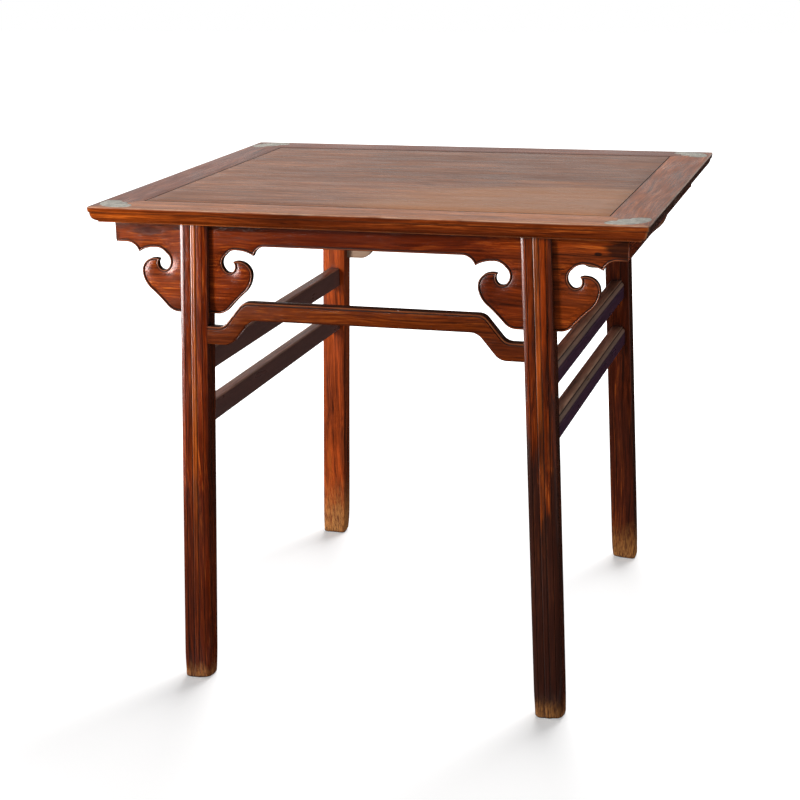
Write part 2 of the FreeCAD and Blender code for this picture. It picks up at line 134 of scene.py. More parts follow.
class TopSettings(PropertyGroup):
    round_over: length("Round-over", "Radius of the upper outer edge", 2.5 * MM)
    groove: length("Groove", "Width of the line round the panel", 1.0 * MM)
    arris: length("Arris", "Bevel on each side of the panel's line", 0.9 * MM)
    edge_wear: length("Edge wear", "Deepest wear along the upper outer edge", 0.7 * MM)
    corner_wear: length("Corner wear", "How far the four corners are worn back", 1.6 * MM)


class FinishSettings(PropertyGroup):
    deep: colour("Deep", "Darkest heartwood", (0.060, 0.010, 0.003))
    body: colour("Body", "Main colour of the aprons", (0.185, 0.024, 0.003))
    streak: colour("Streak", "Orange streaks in the grain", (0.370, 0.082, 0.010))
    top_body: colour("Top", "Main colour of the rubbed top", (0.290, 0.112, 0.052))
    top_streak: colour("Top streak", "Light streaks in the top", (0.460, 0.200, 0.085))
    # The stain tone is also used for painted shade in sunk lines and corners.
    stain: colour("Stain", "Near-black stain and old dirt", (0.010, 0.005, 0.004))
    bare: colour("Bare fibre", "Worn end fibres of the feet", (0.600, 0.250, 0.062))
    metal: colour("Inlay", "Grey weathered metal of the corner plates", (0.500, 0.475, 0.415))
    gloss: FloatProperty(name="Roughness", description="Roughness of the waxed wood", default=0.22,
                         min=0.05, max=1.0, subtype="FACTOR")


class StudioSettings(PropertyGroup):
    lens: FloatProperty(name="Lens", description="Focal length of the camera", default=76.85,
                        min=10.0, unit="CAMERA")
    key: power("Key light", "Light at the front left", 120.0)
    back: power("Back light", "Light behind the table", 70.0)
    ground: power("Floor light", "Light that gives the feet their shadows", 600.0)
    sheen: power("Sheen light", "Wide light at the left that only makes highlights", 1150.0)
    sky: FloatProperty(name="Surround", description="Light from all round", default=0.32,
                       min=0.0, max=2.0)
    floor: colour("Floor", "Colour of the floor", (0.62, 0.62, 0.62))


# ----------------------------------------------------------------- bench helpers
def rest():
    """Leave edit mode and clear the selection."""
    if bpy.context.mode != "OBJECT":
        bpy.ops.object.mode_set(mode="OBJECT")
    bpy.ops.object.select_all(action="DESELECT")


def take(piece):
    """Make one piece the only one selected."""
    rest()
    piece.select_set(True)
    bpy.context.view_layer.objects.active = piece


def tidy_mesh():
    """Join doubled points and turn every face outwards, in edit mode."""
    bpy.ops.mesh.select_all(action="SELECT")
    bpy.ops.mesh.remove_doubles(threshold=1e-6)
    bpy.ops.mesh.normals_make_consistent(inside=False)


def tidy_piece():
    """The same for the active piece, in object mode."""
    bpy.ops.object.mode_set(mode="EDIT")
    tidy_mesh()
    rest()


def mark(piece, name, values):
    """Keep a value for each point of a mesh, for its material to use."""
    marks = piece.data.attributes.new(name, "FLOAT", "POINT")
    marks.data.foreach_set("value", np.asarray(values, dtype=np.float32))


def near(section, lines, width):
    """How near each point of a section lies to one of the lines, from 0 to 1."""
    return [math.exp(-((min(math.dist(point, line) for line in lines) / width) ** 2)) for point in section]


def swept(name, rings, **marks):
    """A moulded member: its end section extruded from ring to ring of points.
    Each of the marks gives a value for every point of the section."""
    rest()
    bpy.ops.mesh.primitive_circle_add(vertices=len(rings[0]), radius=MM, fill_type="NGON",
                                      calc_uvs=False, enter_editmode=True)
    piece = bpy.context.object
    piece.name = piece.data.name = name
    mesh = bmesh.from_edit_mesh(piece.data)
    rank = mesh.verts.layers.int.new("rank")
    mesh.verts.ensure_lookup_table()
    for i, vert in enumerate(mesh.verts):
        vert[rank] = i
        vert.co = rings[0][i]
    bmesh.update_edit_mesh(piece.data)
    for ring in rings[1:]:
        bpy.ops.mesh.extrude_region_move(TRANSFORM_OT_translate={"value": (0, 0, 0)})
        mesh = bmesh.from_edit_mesh(piece.data)
        rank = mesh.verts.layers.int["rank"]
        for vert in mesh.verts:
            if vert.select:
                vert.co = ring[vert[rank]]
        bmesh.update_edit_mesh(piece.data)
    tidy_mesh()
    rest()
    ranks = [item.value for item in piece.data.attributes["rank"].data]
    piece.data.attributes.remove(piece.data.attributes["rank"])
    for label, values in marks.items():
        mark(piece, label, [values[i] for i in ranks])
    return piece


def mirrored_copy(piece, name, x=1, y=1):
    """A copy with its own mesh, mirrored across the middle of the table."""
    take(piece)
    bpy.ops.object.duplicate(linked=False)
    copy = bpy.context.object
    copy.name = copy.data.name = name
    copy.scale = (x, y, 1)
    bpy.ops.object.transform_apply(location=False, rotation=False, scale=True)
    tidy_piece()
    return copy


def four_corners(piece, kind):
    """The front right piece with its three mirrored copies, by corner."""
    pieces = {"front_right": piece}
    for corner, x, y in (("front_left", -1, 1), ("back_right", 1, -1), ("back_left", -1, -1)):
        pieces[corner] = mirrored_copy(piece, corner + "_" + kind, x=x, y=y)
    return pieces


def box_tool(corners):
    """One cutting tool made of boxes, each given by its two corners."""
    tools = []
    for low, high in corners:
        rest()
        centre = [(a + b) / 2 for a, b in zip(low, high)]
        size = [b - a for a, b in zip(low, high)]
        bpy.ops.mesh.primitive_cube_add(size=1, location=centre, scale=size, calc_uvs=False)
        tools.append(bpy.context.object)
    rest()
    for tool in tools:
        tool.select_set(True)
    bpy.context.view_layer.objects.active = tools[0]
    if len(tools) > 1:
        bpy.ops.object.join()
    bpy.ops.object.transform_apply(location=True, rotation=True, scale=True)
    return bpy.context.object


def cut_away(piece, tool):
    """Cut a joint out of a piece."""
    take(piece)
    bpy.ops.object.modifier_add(type="BOOLEAN")
    cut = piece.modifiers[-1]
    cut.operation = "DIFFERENCE"
    cut.solver = "EXACT"
    cut.object = tool
    bpy.ops.object.modifier_apply(modifier=cut.name)


def put_away(tool):
    """Remove a cutting tool."""
    bpy.data.objects.remove(tool, do_unlink=True)


def fit(piece, node, material, angle=32):
    """Smooth and finish a piece, and put it in the place of its node."""
    take(piece)
    bpy.ops.object.shade_smooth_by_angle(angle=math.radians(angle))
    piece.data.materials.clear()
    piece.data.materials.append(material)
    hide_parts(node)
    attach(piece, "root")
    rest()


def arc(start, through, end, steps):
    """Points of the arc through three 2-D points, without the last one."""
    (ax, ay), (bx, by), (cx, cy) = start, through, end
    d = 2 * (ax * (by - cy) + bx * (cy - ay) + cx * (ay - by))
    a2, b2, c2 = ax * ax + ay * ay, bx * bx + by * by, cx * cx + cy * cy
    ux = (a2 * (by - cy) + b2 * (cy - ay) + c2 * (ay - by)) / d
    uy = (a2 * (cx - bx) + b2 * (ax - cx) + c2 * (bx - ax)) / d
    radius = math.hypot(ax - ux, ay - uy)
    first = math.atan2(ay - uy, ax - ux)
    middle = (math.atan2(by - uy, bx - ux) - first) % math.tau
    turn = (math.atan2(cy - uy, cx - ux) - first) % math.tau
    if middle > turn:
        turn -= math.tau
    return [(ux + radius * math.cos(first + turn * i / steps),
             uy + radius * math.sin(first + turn * i / steps)) for i in range(steps)]


def quarter(corner, start, end, radius, steps):
    """A corner rounded off, without its last point.  start and end are the
    directions from the corner along its two sides."""
    k = radius * (1 - math.sqrt(0.5))
    (x, y), (ax, ay), (bx, by) = corner, start, end
    return arc((x + ax * radius, y + ay * radius), (x + (ax + bx) * k, y + (ay + by) * k),
               (x + bx * radius, y + by * radius), steps)


def waver(along, lane, size):
    """The slight unevenness that hand planing leaves along a member."""
    return size * noise.noise(Vector((along * 6.0, lane * 3.7, lane * 1.3)))


def leg_centre(z):
    """Centre of the front right leg's section at a height."""
    outward = 1 - z / UNDERSIDE
    return LEG_TOP[0] + LEG_SPLAY[0] * outward, -(LEG_TOP[1] + LEG_SPLAY[1] * outward)


# ------------------------------------------------------------------------- legs
def leg_section(leg, worn):
    """Points round a leg, across and behind its moulded face.  worn runs from
    0, a crisp moulding, to 1, where rubbing has left a plain rounded face."""
    edge = leg.width / 2
    bead = edge - leg.bead
    centre = leg.centre_bead / 2
    sunk = leg.sunk
    fall = 0.46 * leg.bead
    quirk, field = 0.8 * MM, 0.5 * MM
    half = arc((0, 0.35 * MM), (centre / 2, 0), (centre, sunk), 7) + [(centre, sunk)]
    half += arc((centre + quirk, field), ((centre + bead) / 2, 0.3 * MM), (bead - quirk, field), 6)
    half += [(bead - quirk, field), (bead, sunk)]
    half += arc((bead + 0.6 * quirk, 0.35 * MM), (bead + 0.45 * leg.bead, 0.95 * MM), (edge, fall), 9)
    half += [(edge, fall)]
    radius = 8 * MM
    face = []
    for x, deep in half:
        past = max(0.0, x - (edge - radius))
        plain = field + radius - math.sqrt(radius * radius - past * past * 0.98)
        face.append((x - worn * 0.6 * MM * (x / edge), deep + (plain - deep) * worn))
    groove = 1.2 * MM * (1 - worn)
    side = [(edge, SIDE_LINE - 1.3 * MM), (edge - groove, SIDE_LINE - 0.5 * MM),
            (edge - groove, SIDE_LINE + 0.5 * MM), (edge, SIDE_LINE + 1.3 * MM),
            (edge, leg.depth * 0.6)]
    soft = leg.corner + worn * 3 * MM
    corner = quarter((edge, leg.depth), (0, -1), (-1, 0), soft, 5)
    corner += [(edge - soft, leg.depth), (edge * 0.4, leg.depth)]
    right = face + side + corner
    return right + [(-x, deep) for x, deep in right[:0:-1]]


def leg_ring(leg, z):
    """The front right leg's section at one height, in place."""
    worn = math.exp(-((z / leg.worn_height) ** 2) * 0.8)
    low = max(0.0, leg.foot_round - z)
    tucked = leg.foot_round - math.sqrt(leg.foot_round ** 2 - low ** 2)
    x0, y0 = leg_centre(z)
    middle = leg.depth / 2
    ring = []
    for across, deep in leg_section(leg, worn):
        across *= 1 - tucked / (leg.width / 2)
        deep = middle + (deep - middle) * (1 - tucked / middle)
        ring.append((x0 + across, y0 - middle + deep, z))
    return ring


def leg_joints(leg, stretcher):
    """Boxes of the bridle slot and the mortises in the front right leg."""
    reach = 70 * MM
    past = 5 * MM
    boxes = [((SPANDREL_AXIS - reach, APRON_FRONT - CLEARANCE, SLOT_FLOOR),
              (SPANDREL_AXIS + reach, APRON_FRONT + APRON_THICKNESS + CLEARANCE, UNDERSIDE + reach))]
    thick, tall, deep = (size + CLEARANCE for size in HUMP_TENON)
    middle = HUMP_END + stretcher.hump_height / 2
    inner = leg_centre(middle)[0] - leg.width / 2
    y = HUMP_FRONT + stretcher.hump_depth / 2
    boxes.append(((inner - past, y - thick, middle - tall), (inner + deep, y + thick, middle + tall)))
    thick, tall, deep = (size + CLEARANCE for size in RAIL_TENON)
    for low in (UPPER_RAIL, LOWER_RAIL):
        middle = low + stretcher.rail_height / 2
        x, y = leg_centre(middle)
        inner = y + leg.depth / 2
        boxes.append(((x - thick, inner - deep, middle - tall), (x + thick, inner + past, middle + tall)))
    return boxes


def wear_foot(piece, leg, seed, chip):
    """Chip and round the low end of one leg, each leg in its own way.  chip
    is the side, as (x, y), whose corner has lost the most."""
    take(piece)
    bpy.ops.object.mode_set(mode="EDIT")
    mesh = bmesh.from_edit_mesh(piece.data)
    side = 1 if piece.data.vertices[0].co.x > 0 else -1
    fade, eased = 9 * MM, 20 * MM
    for vert in mesh.verts:
        if vert.co.z > 50 * MM:
            continue
        x, y = leg_centre(vert.co.z)
        y = abs(y) * (1 if vert.co.y > 0 else -1)
        out = Vector((vert.co.x - side * x, vert.co.y - y, 0))
        low = math.exp(-vert.co.z / fade)
        ragged = 0.5 + 0.5 * noise.noise(vert.co * 130 + Vector((seed, 0, 0)))
        corner = out.x * chip[0] / (leg.width / 2) + out.y * chip[1] / (leg.depth / 2)
        corner = max(0.0, corner - 0.9)
        sole = vert.co.z < MM
        vert.co -= out.normalized() * low * (1.5 * MM * ragged + 3.2 * MM * corner)
        vert.co.z += low * (0.5 * MM * ragged * sole + 2.6 * MM * corner)
    lifted = min(vert.co.z for vert in mesh.verts)
    for vert in mesh.verts:
        vert.co.z -= lifted * max(0.0, 1 - vert.co.z / eased)
    bmesh.update_edit_mesh(piece.data)
    rest()


class TABLE_OT_make_legs(Operator):
    """Shape the four moulded legs with their slots, mortises and worn feet"""

    bl_idname = "table.make_legs"
    bl_label = "Make Legs"

    def execute(self, context):
        leg = context.scene.table_legs
        # Rings lie close together at the foot, where the wear is, and then evenly.
        heights = [z * MM for z in (0, 0.3, 0.9, 1.8, 3, 4.4, 6.5, 9.5, 13, 17, 22, 28, 35, 44, 56, 72)]
        count = 26
        heights += [heights[-1] + (UNDERSIDE - heights[-1]) * (i + 1) / count for i in range(count)]
        section = leg_section(leg, 0)
        edge, centre = leg.width / 2, leg.centre_bead / 2
        lines = [(side * x, deep) for side in (-1, 1) for x, deep in (
            (centre, leg.sunk), (edge - leg.bead, leg.sunk), (edge, SIDE_LINE))]
        crests = [(-centre / 2, 0), (centre / 2, 0)]
        # The sunk marks carry painted shade into the sunk lines; the crest marks carry a pale tone that is
        # partly painted highlight.
        first = swept("front_right_leg", [leg_ring(leg, z) for z in heights],
                      sunk=near(section, lines, 0.9 * MM), crest=near(section, crests, 2.6 * MM))
        tool = box_tool(leg_joints(leg, context.scene.table_stretchers))
        cut_away(first, tool)
        put_away(tool)
        chips = {"front_right": (1, -1), "front_left": (1, -1), "back_right": (-1, -1), "back_left": (1, 1)}
        legs = four_corners(first, "leg")
        for seed, (corner, chip) in enumerate(chips.items()):
            wear_foot(legs[corner], leg, 3.1 * seed, chip)
            fit(legs[corner], "leg_" + corner, leg_wood(corner))
        return {"FINISHED"}


# ----------------------------------------------------------------------- aprons
# The carver's template for one side of a spandrel: a start, then pairs of a
# point on an arc and the arc's end, as shares of the reach and of the drop.
SPANDREL_TEMPLATE = (
    (0.356, 1.000), (0.475, 0.977), (0.564, 0.921), (0.698, 0.801), (0.817, 0.705),
    (0.945, 0.583), (1.000, 0.427), (0.936, 0.286), (0.782, 0.225), (0.718, 0.225),
    (0.668, 0.237), (0.699, 0.289), (0.693, 0.331), (0.614, 0.394), (0.510, 0.354),
    (0.469, 0.272), (0.540, 0.146), (0.634, 0.083), (0.757, 0.069), (0.906, 0.088),
    (1.040, 0.140), (1.122, 0.038), (1.257, 0.000),
)


def run(start, end, spacing):
    """Points along a straight run, without the last one."""
    steps = max(1, round(math.dist(start, end) / spacing))
    return [(start[0] + (end[0] - start[0]) * i / steps, start[1] + (end[1] - start[1]) * i / steps)
            for i in range(steps)]


def spandrel_curve(apron):
    """One side of a spandrel from its heel out to the plain edge."""
    points = [(out * apron.reach, APRON_EDGE - down * apron.drop) for out, down in SPANDREL_TEMPLATE]
    curve = []
    for i in range(0, len(points) - 2, 2):
        chord = math.dist(points[i], points[i + 1]) + math.dist(points[i + 1], points[i + 2])
        curve += arc(*points[i:i + 3], max(3, round(chord / apron.fineness)))
    return curve + [points[-1]]


def carved_edge(apron):
    """The lower edge of the front apron from its left end to its right end."""
    curve = spandrel_curve(apron)
    edge = [(-APRON_END, APRON_EDGE)]
    for axis in (-SPANDREL_AXIS, SPANDREL_AXIS):
        left = [(axis - x, z) for x, z in curve[::-1]]
        right = [(axis + x, z) for x, z in curve]
        edge += run(edge[-1], left[0], 4 * MM)[1:] + left
        edge += run(left[-1], right[0], 4 * MM)[1:] + right
    return edge + run(edge[-1], (APRON_END, APRON_EDGE), 4 * MM)[1:] + [(APRON_END, APRON_EDGE)]


def distance_to(edge, points):
    """Distance from each point to the run of edge points."""
    start, end = edge[:-1], edge[1:]
    step = end - start
    size = (step ** 2).sum(1)
    near = np.full(len(points), 1e9)
    for block in range(0, len(points), 1500):
        part = points[block:block + 1500, None] - start[None]
        share = np.clip((part * step).sum(2) / size, 0, 1)
        gap = part - share[:, :, None] * step
        near[block:block + 1500] = np.sqrt((gap ** 2).sum(2).min(1))
    return near


def relief(apron, distance, x):
    """How far the carved front lies behind the board's face: a bead along the
    edge, a sunk line, then a field that swells over its rounded shoulder."""
    d = np.asarray(distance)
    beside = np.abs(np.abs(np.asarray(x)) - SPANDREL_AXIS)
    plain = np.clip((beside - apron.reach) / (0.25 * apron.reach), 0, 1)
    swell = apron.swell * (1 - 0.7 * plain)
    centre = apron.bead / 2
    crest = 0.35 * swell
    bead = crest + 0.9 * MM * np.clip(np.abs(d - centre) / centre, 0, 1) ** 2.2
    line = apron.bead + 0.5 * MM
    t = np.clip((d - line) / apron.shoulder, 0, 1)
    field = swell * (1 - t) ** 2
    sunk = np.exp(-(((d - line) / (0.6 * MM)) ** 2)) * np.maximum(0.5 * MM, crest + 1.4 * MM - swell)
    return np.where(d < apron.bead, bead, field + sunk)


def flat_sheet(outline, inner):
    """Triangles that fill an outline and use the inner points."""
    points = [Vector(p) for p in outline] + [Vector(p) for p in inner]
    ring = list(range(len(outline)))
    made = delaunay_2d_cdt(points, [], [ring], 1, 1e-7)
    return np.array([(v.x, v.y) for v in made[0]]), [tuple(f) for f in made[2]]


def carved_board(name, apron):
    """The front apron: a carved face, a plain back and the sawn edge between.
    The relief follows the distance from the carved edge at every point."""
    edge = carved_edge(apron)
    outline = edge + run((APRON_END, UNDERSIDE), (-APRON_END, UNDERSIDE), 12 * MM)
    outline.append((-APRON_END, UNDERSIDE))
    line = np.array(edge)
    tangent = np.gradient(line, axis=0)
    tangent /= np.linalg.norm(tangent, axis=1)[:, None]
    inward = np.stack([-tangent[:, 1], tangent[:, 0]], 1)
    inner = []
    # Rows of points that follow the carved edge, closest together near it.
    for i, d in enumerate((0.35, 0.75, 1.05, 1.4, 1.8, 2.1, 2.4, 2.7, 3.2, 4, 5.2, 7, 9.5, 13, 18)):
        loop = (line + inward * d * MM)[::1 if i < 10 else 2 if i < 12 else 4]
        inner.append(loop[distance_to(line, loop) > d * MM * 0.985])
    mesh_width, grid_end = 0.0075, 0.435
    xs, zs = np.meshgrid(np.arange(-grid_end, grid_end + 0.1 * MM, mesh_width),
                         np.arange(SLOT_FLOOR, UNDERSIDE, mesh_width))
    grid = np.stack([xs.ravel(), zs.ravel()], 1)
    inner.append(grid[distance_to(line, grid) > 22 * MM])
    inner = np.concatenate(inner)
    inside = (np.abs(inner[:, 0]) < APRON_END - MM) & (inner[:, 1] < UNDERSIDE - MM)
    flat, faces = flat_sheet(outline, inner[inside])
    away = distance_to(line, flat)
    deep = relief(apron, away, flat[:, 0])
    wave = np.array([noise.noise(Vector((x * 9, z * 30, 4.0))) for x, z in flat]) * 0.12 * MM
    verts = [(x, APRON_FRONT + y, z) for (x, z), y in zip(flat, deep + np.abs(wave))]

    # Past this distance the mitre draws the back's outline in.
    full = 0.4245
    mitre = (APRON_END - APRON_THICKNESS - full) / (APRON_END - full)
    back_outline = [(math.copysign(full + (abs(x) - full) * mitre, x) if abs(x) > full else x, z)
                    for x, z in outline]
    back_line = np.array(back_outline[:len(edge)])
    loop = back_line + inward * 0.8 * MM
    loop = loop[(distance_to(back_line, loop) > 0.78 * MM) & (np.abs(loop[:, 0]) < APRON_END - 14 * MM)]
    back, back_faces = flat_sheet(back_outline, loop)
    eased = 0.6 * MM * np.exp(-distance_to(back_line, back) / (0.3 * MM))
    start = len(verts)
    verts += [(x, APRON_FRONT + APRON_THICKNESS - y, z) for (x, z), y in zip(back, eased)]
    count = len(outline)
    walls = [(i, (i + 1) % count, start + (i + 1) % count, start + i) for i in range(count)]
    faces = faces + [tuple(start + i for i in f[::-1]) for f in back_faces] + walls
    data = bpy.data.meshes.new(name)
    data.from_pydata(verts, [], faces)
    piece = bpy.data.objects.new(name, data)
    bpy.context.scene.collection.objects.link(piece)
    # Marks for the material: sunk for painted shade in the sunk line and along the carved edge, crest for a
    # painted highlight, with wear, on the bead.
    groove = np.exp(-(((away - apron.bead - 0.7 * MM) / (0.95 * MM)) ** 2))
    groove += np.exp(-((away / (0.6 * MM)) ** 2))
    crest = np.exp(-(((away - 0.5 * apron.bead) / (0.6 * MM)) ** 2))
    plain = np.zeros(len(back))
    mark(piece, "sunk", np.concatenate([groove, plain]))
    mark(piece, "crest", np.concatenate([crest, plain]))
    take(piece)
    tidy_piece()
    return piece


def side_apron_ring(y, slant):
    """The right side apron's section at one place, with its end mitred."""
    inner = APRON_END - APRON_THICKNESS
    # Millimetres in from the outer face and up from the lower edge.
    bead = ((0, 5), (0, 3.2), (1.0, 2.7), (0.4, 2.1), (0.3, 1.2), (0.9, 0.2), (2, 0))
    points = [(APRON_END, UNDERSIDE)]
    points += [(APRON_END - deep * MM, APRON_EDGE + up * MM) for deep, up in bead]
    points += [(inner + 1.2 * MM, APRON_EDGE), (inner, APRON_EDGE + 1.2 * MM), (inner, UNDERSIDE)]
    return [(x, y + slant * (x - inner), z) for x, z in points]


class TABLE_OT_make_aprons(Operator):
    """Carve the front and back aprons and shape the two side aprons"""

    bl_idname = "table.make_aprons"
    bl_label = "Make Aprons"

    def execute(self, context):
        apron = context.scene.table_aprons
        front = carved_board("front_apron", apron)
        back = mirrored_copy(front, "back_apron", y=-1)
        end = APRON_FRONT + APRON_THICKNESS
        count = 24
        slants = {0: -1, count: 1}
        right = swept("right_apron", [side_apron_ring(end - 2 * end * i / count, slants.get(i, 0))
                                      for i in range(count + 1)])
        left = mirrored_copy(right, "left_apron", x=-1)
        fit(front, "apron_front", apron_wood("front"), 40)
        fit(back, "apron_back", apron_wood("back"), 40)
        fit(right, "apron_right", apron_wood("side"))
        fit(left, "apron_left", apron_wood("side"))
        return {"FINISHED"}


# ------------------------------------------------------------------- stretchers
def plain_back(depth, height, radius):
    """The plain back of a stretcher's section, from its underside to its top."""
    back = [(depth / 2, height)] + quarter((depth, height), (-1, 0), (0, -1), radius, 4)
    back += [(depth, height - radius), (depth, height / 2)]
    return back + quarter((depth, 0), (0, 1), (-1, 0), radius, 4) + [(depth - radius, 0)]


def beaded_section(height, depth, bead):
    """Points round a stretcher, as distance behind its outer face and below
    its top: a bead along the upper edge, a sunk line and a swelled face."""
    line = bead + 0.9 * MM
    section = arc((1.5 * MM, 0), (0.1 * MM, bead / 2 - 0.3 * MM), (1.3 * MM, bead), 8)
    section += [(2.0 * MM, bead + 0.35 * MM), (2.0 * MM, line - 0.2 * MM)]
    section += arc((1.1 * MM, line + 0.2 * MM), (0.5 * MM, line + 0.5 * MM), (0.3 * MM, line + 1.2 * MM), 3)
    section += arc((0.3 * MM, line + 1.2 * MM), (0, height * 0.52), (0.6 * MM, height - 3.5 * MM), 8)
    section += arc((0.6 * MM, height - 3.5 * MM), (1.4 * MM, height - 1.2 * MM), (3.6 * MM, height), 5)
    return section + [(3.6 * MM, height)] + plain_back(depth, height, 2.2 * MM) + [(depth / 2, 0)]


def rail_section(height, width, bead):
    """Points round a side stretcher, as for beaded_section: an arris line, a
    wide bead that leans outwards, a sunk line and a plain face."""
    lean = 0.55 * bead
    section = arc((lean + 2.2 * MM, 0), (lean + 0.4 * MM, 0.5 * MM), (lean + 0.5 * MM, 2.0 * MM), 4)
    section += [(lean + 1.3 * MM, 2.5 * MM), (lean + 0.4 * MM, 3.0 * MM)]
    section += arc((lean - 0.2 * MM, 3.0 * MM), (0.22 * bead, 0.62 * bead), (0.3 * MM, bead + 2.4 * MM), 8)
    section += [(0.3 * MM, bead + 2.4 * MM), (1.3 * MM, bead + 2.8 * MM), (1.3 * MM, bead + 3.3 * MM)]
    section += arc((0.4 * MM, bead + 3.8 * MM), (0, height * 0.65), (0.4 * MM, height - 3 * MM), 6)
    back = 2.5 * MM
    through = height - back * (1 - math.sqrt(0.5))
    section += arc((0.4 * MM, height - 3 * MM), (1.2 * MM, through), (3.4 * MM, height), 4)
    return section + [(3.4 * MM, height)] + plain_back(width, height, back) + [(width * 0.6, 0)]


def rounded_route(corners, steps):
    """Points along a route of corners (x, z, radius), each corner rounded.
    steps gives the number of points on each run and each bend in turn."""
    route = []
    last = Vector(corners[0][:2])
    counts = iter(steps)
    for before, corner, after in zip(corners, corners[1:], corners[2:]):
        here = Vector(corner[:2])
        back = (Vector(before[:2]) - here).normalized()
        on = (Vector(after[:2]) - here).normalized()
        half = back.angle(on) / 2
        start = here + back * (corner[2] / math.tan(half))
        end = here + on * (corner[2] / math.tan(half))
        through = here + (back + on).normalized() * (corner[2] / math.sin(half) - corner[2])
        count = next(counts)
        route += [tuple(last.lerp(start, i / count)) for i in range(count)]
        route += arc(tuple(start), tuple(through), tuple(end), next(counts))
        last = end
    count = next(counts)
    end = Vector(corners[-1][:2])
    return route + [tuple(last.lerp(end, i / count)) for i in range(count + 1)]


def tenoned(rings, section, middle, tenon, shoulder, place):
    """Rings of a stretcher with a tenon drawn out of each end.  place turns a
    distance along the stretcher and a point of its section into a point."""
    *half, tenon_length = tenon
    core = [tuple(min(m + h, max(m - h, v)) for v, m, h in zip(point, middle, half)) for point in section]
    start, end = ([[place(side * (shoulder + out), *point) for point in core]
                   for out in (0.2 * MM, tenon_length)] for side in (-1, 1))
    return start[::-1] + rings + end


def humpback(name, leg, stretcher):
    """The front humpback stretcher, with its tenons."""
    height, depth = stretcher.hump_height, stretcher.hump_depth
    inner = leg_centre(HUMP_END + height / 2)[0] - leg.width / 2
    foot = inner - 30 * MM
    head = foot - 37 * MM
    steps = (4, 7, 4, 7, 34, 7, 4, 7, 4)

    def route(inward, low, radius):
        corners = [(inner, low, 0), (foot - inward, low, radius),
                   (head - inward, low + stretcher.hump_rise, radius)]
        corners = [(-x, z, r) for x, z, r in corners] + corners[::-1]
        return rounded_route(corners, steps)

    upper = route(0, HUMP_END + height, 22 * MM)
    lower = route(11.5 * MM, HUMP_END, 26 * MM)
    section = beaded_section(height, depth, stretcher.bead)
    rings = []
    for i, (top, low) in enumerate(zip(upper, lower)):
        top, low = Vector(top), Vector(low)
        size = (low - top).length
        ring = []
        for deep, down in section:
            share = down / size if down < height / 2 else 1 - (height - down) / size
            x, z = top.lerp(low, share)
            if i in (0, len(upper) - 1):
                x = math.copysign(leg_centre(z)[0] - leg.width / 2 + SHOULDER_GAP, x)
            else:
                deep += abs(waver(x, 5, 0.3 * MM)) if deep < depth / 2 else 0
            ring.append((x, HUMP_FRONT + deep, z))
        rings.append(ring)

    def place(along, deep, down):
        return along, HUMP_FRONT + deep, HUMP_END + height - down

    rings = tenoned(rings, section, (depth / 2, height / 2), HUMP_TENON, inner, place)
    # The sunk marks carry painted shade into the sunk line; the crest marks carry a pale tone that is partly
    # painted highlight.
    line = stretcher.bead + 0.5 * MM
    return swept(name, rings, sunk=near(section, [(2.0 * MM, line)], 0.9 * MM),
                 crest=near(section, [(0.2 * MM, stretcher.bead / 2)], 1.2 * MM))


def side_rail(name, leg, stretcher, low):
    """A right-hand side stretcher, with its tenons."""
    height, width = stretcher.rail_height, stretcher.rail_width
    middle = low + height / 2
    x0 = leg_centre(middle)[0]
    end = -leg_centre(middle)[1] - leg.depth / 2
    section = rail_section(height, width, stretcher.rail_bead)
    count = 26
    rings = []
    for i in range(count + 1):
        y = -end + 2 * end * i / count
        ring = []
        for deep, down in section:
            z = low + height - down
            shift = waver(y, low * 40, 0.25 * MM)
            along = y
            if i in (0, count):
                along = math.copysign(-leg_centre(z)[1] - leg.depth / 2 + SHOULDER_GAP, y)
                shift = 0
            ring.append((x0 + width / 2 - deep + shift, along, z))
        rings.append(ring)

    def place(along, deep, down):
        return x0 + width / 2 - deep, along, low + height - down

    rings = tenoned(rings, section, (width / 2, height / 2), RAIL_TENON, end, place)
    # The sunk marks carry painted shade into the sunk lines; the crest marks carry a pale tone that is partly
    # painted highlight.
    lean, bead = 0.55 * stretcher.rail_bead, stretcher.rail_bead
    lines = [(lean + 1.3 * MM, 2.5 * MM), (1.3 * MM, bead + 3.05 * MM)]
    return swept(name, rings, sunk=near(section, lines, 1.7 * MM),
                 crest=near(section, [(lean + 1.2 * MM, 0.2 * MM)], 1.5 * MM))


class TABLE_OT_make_stretchers(Operator):
    """Shape the humpback stretchers and the pairs of side stretchers"""

    bl_idname = "table.make_stretchers"
    bl_label = "Make Stretchers"

    def execute(self, context):
        leg = context.scene.table_legs
        stretcher = context.scene.table_stretchers
        front = humpback("front_humpback", leg, stretcher)
        back = mirrored_copy(front, "back_humpback", y=-1)
        fit(front, "humpback_stretcher_front", humpback_wood("front"))
        fit(back, "humpback_stretcher_back", humpback_wood("back"))
        for level, low in (("upper", UPPER_RAIL), ("lower", LOWER_RAIL)):
            right = side_rail("right_%s_rail" % level, leg, stretcher, low)
            left = mirrored_copy(right, "left_%s_rail" % level, x=-1)
            fit(right, "side_stretcher_right_" + level, rail_wood("right"))
            fit(left, "side_stretcher_left_" + level, rail_wood("left"))
        return {"FINISHED"}


# -------------------------------------------------------------------- top frame
# Height of the lower edge of the frame's outer band above the underside.
BAND = 18.5 * MM


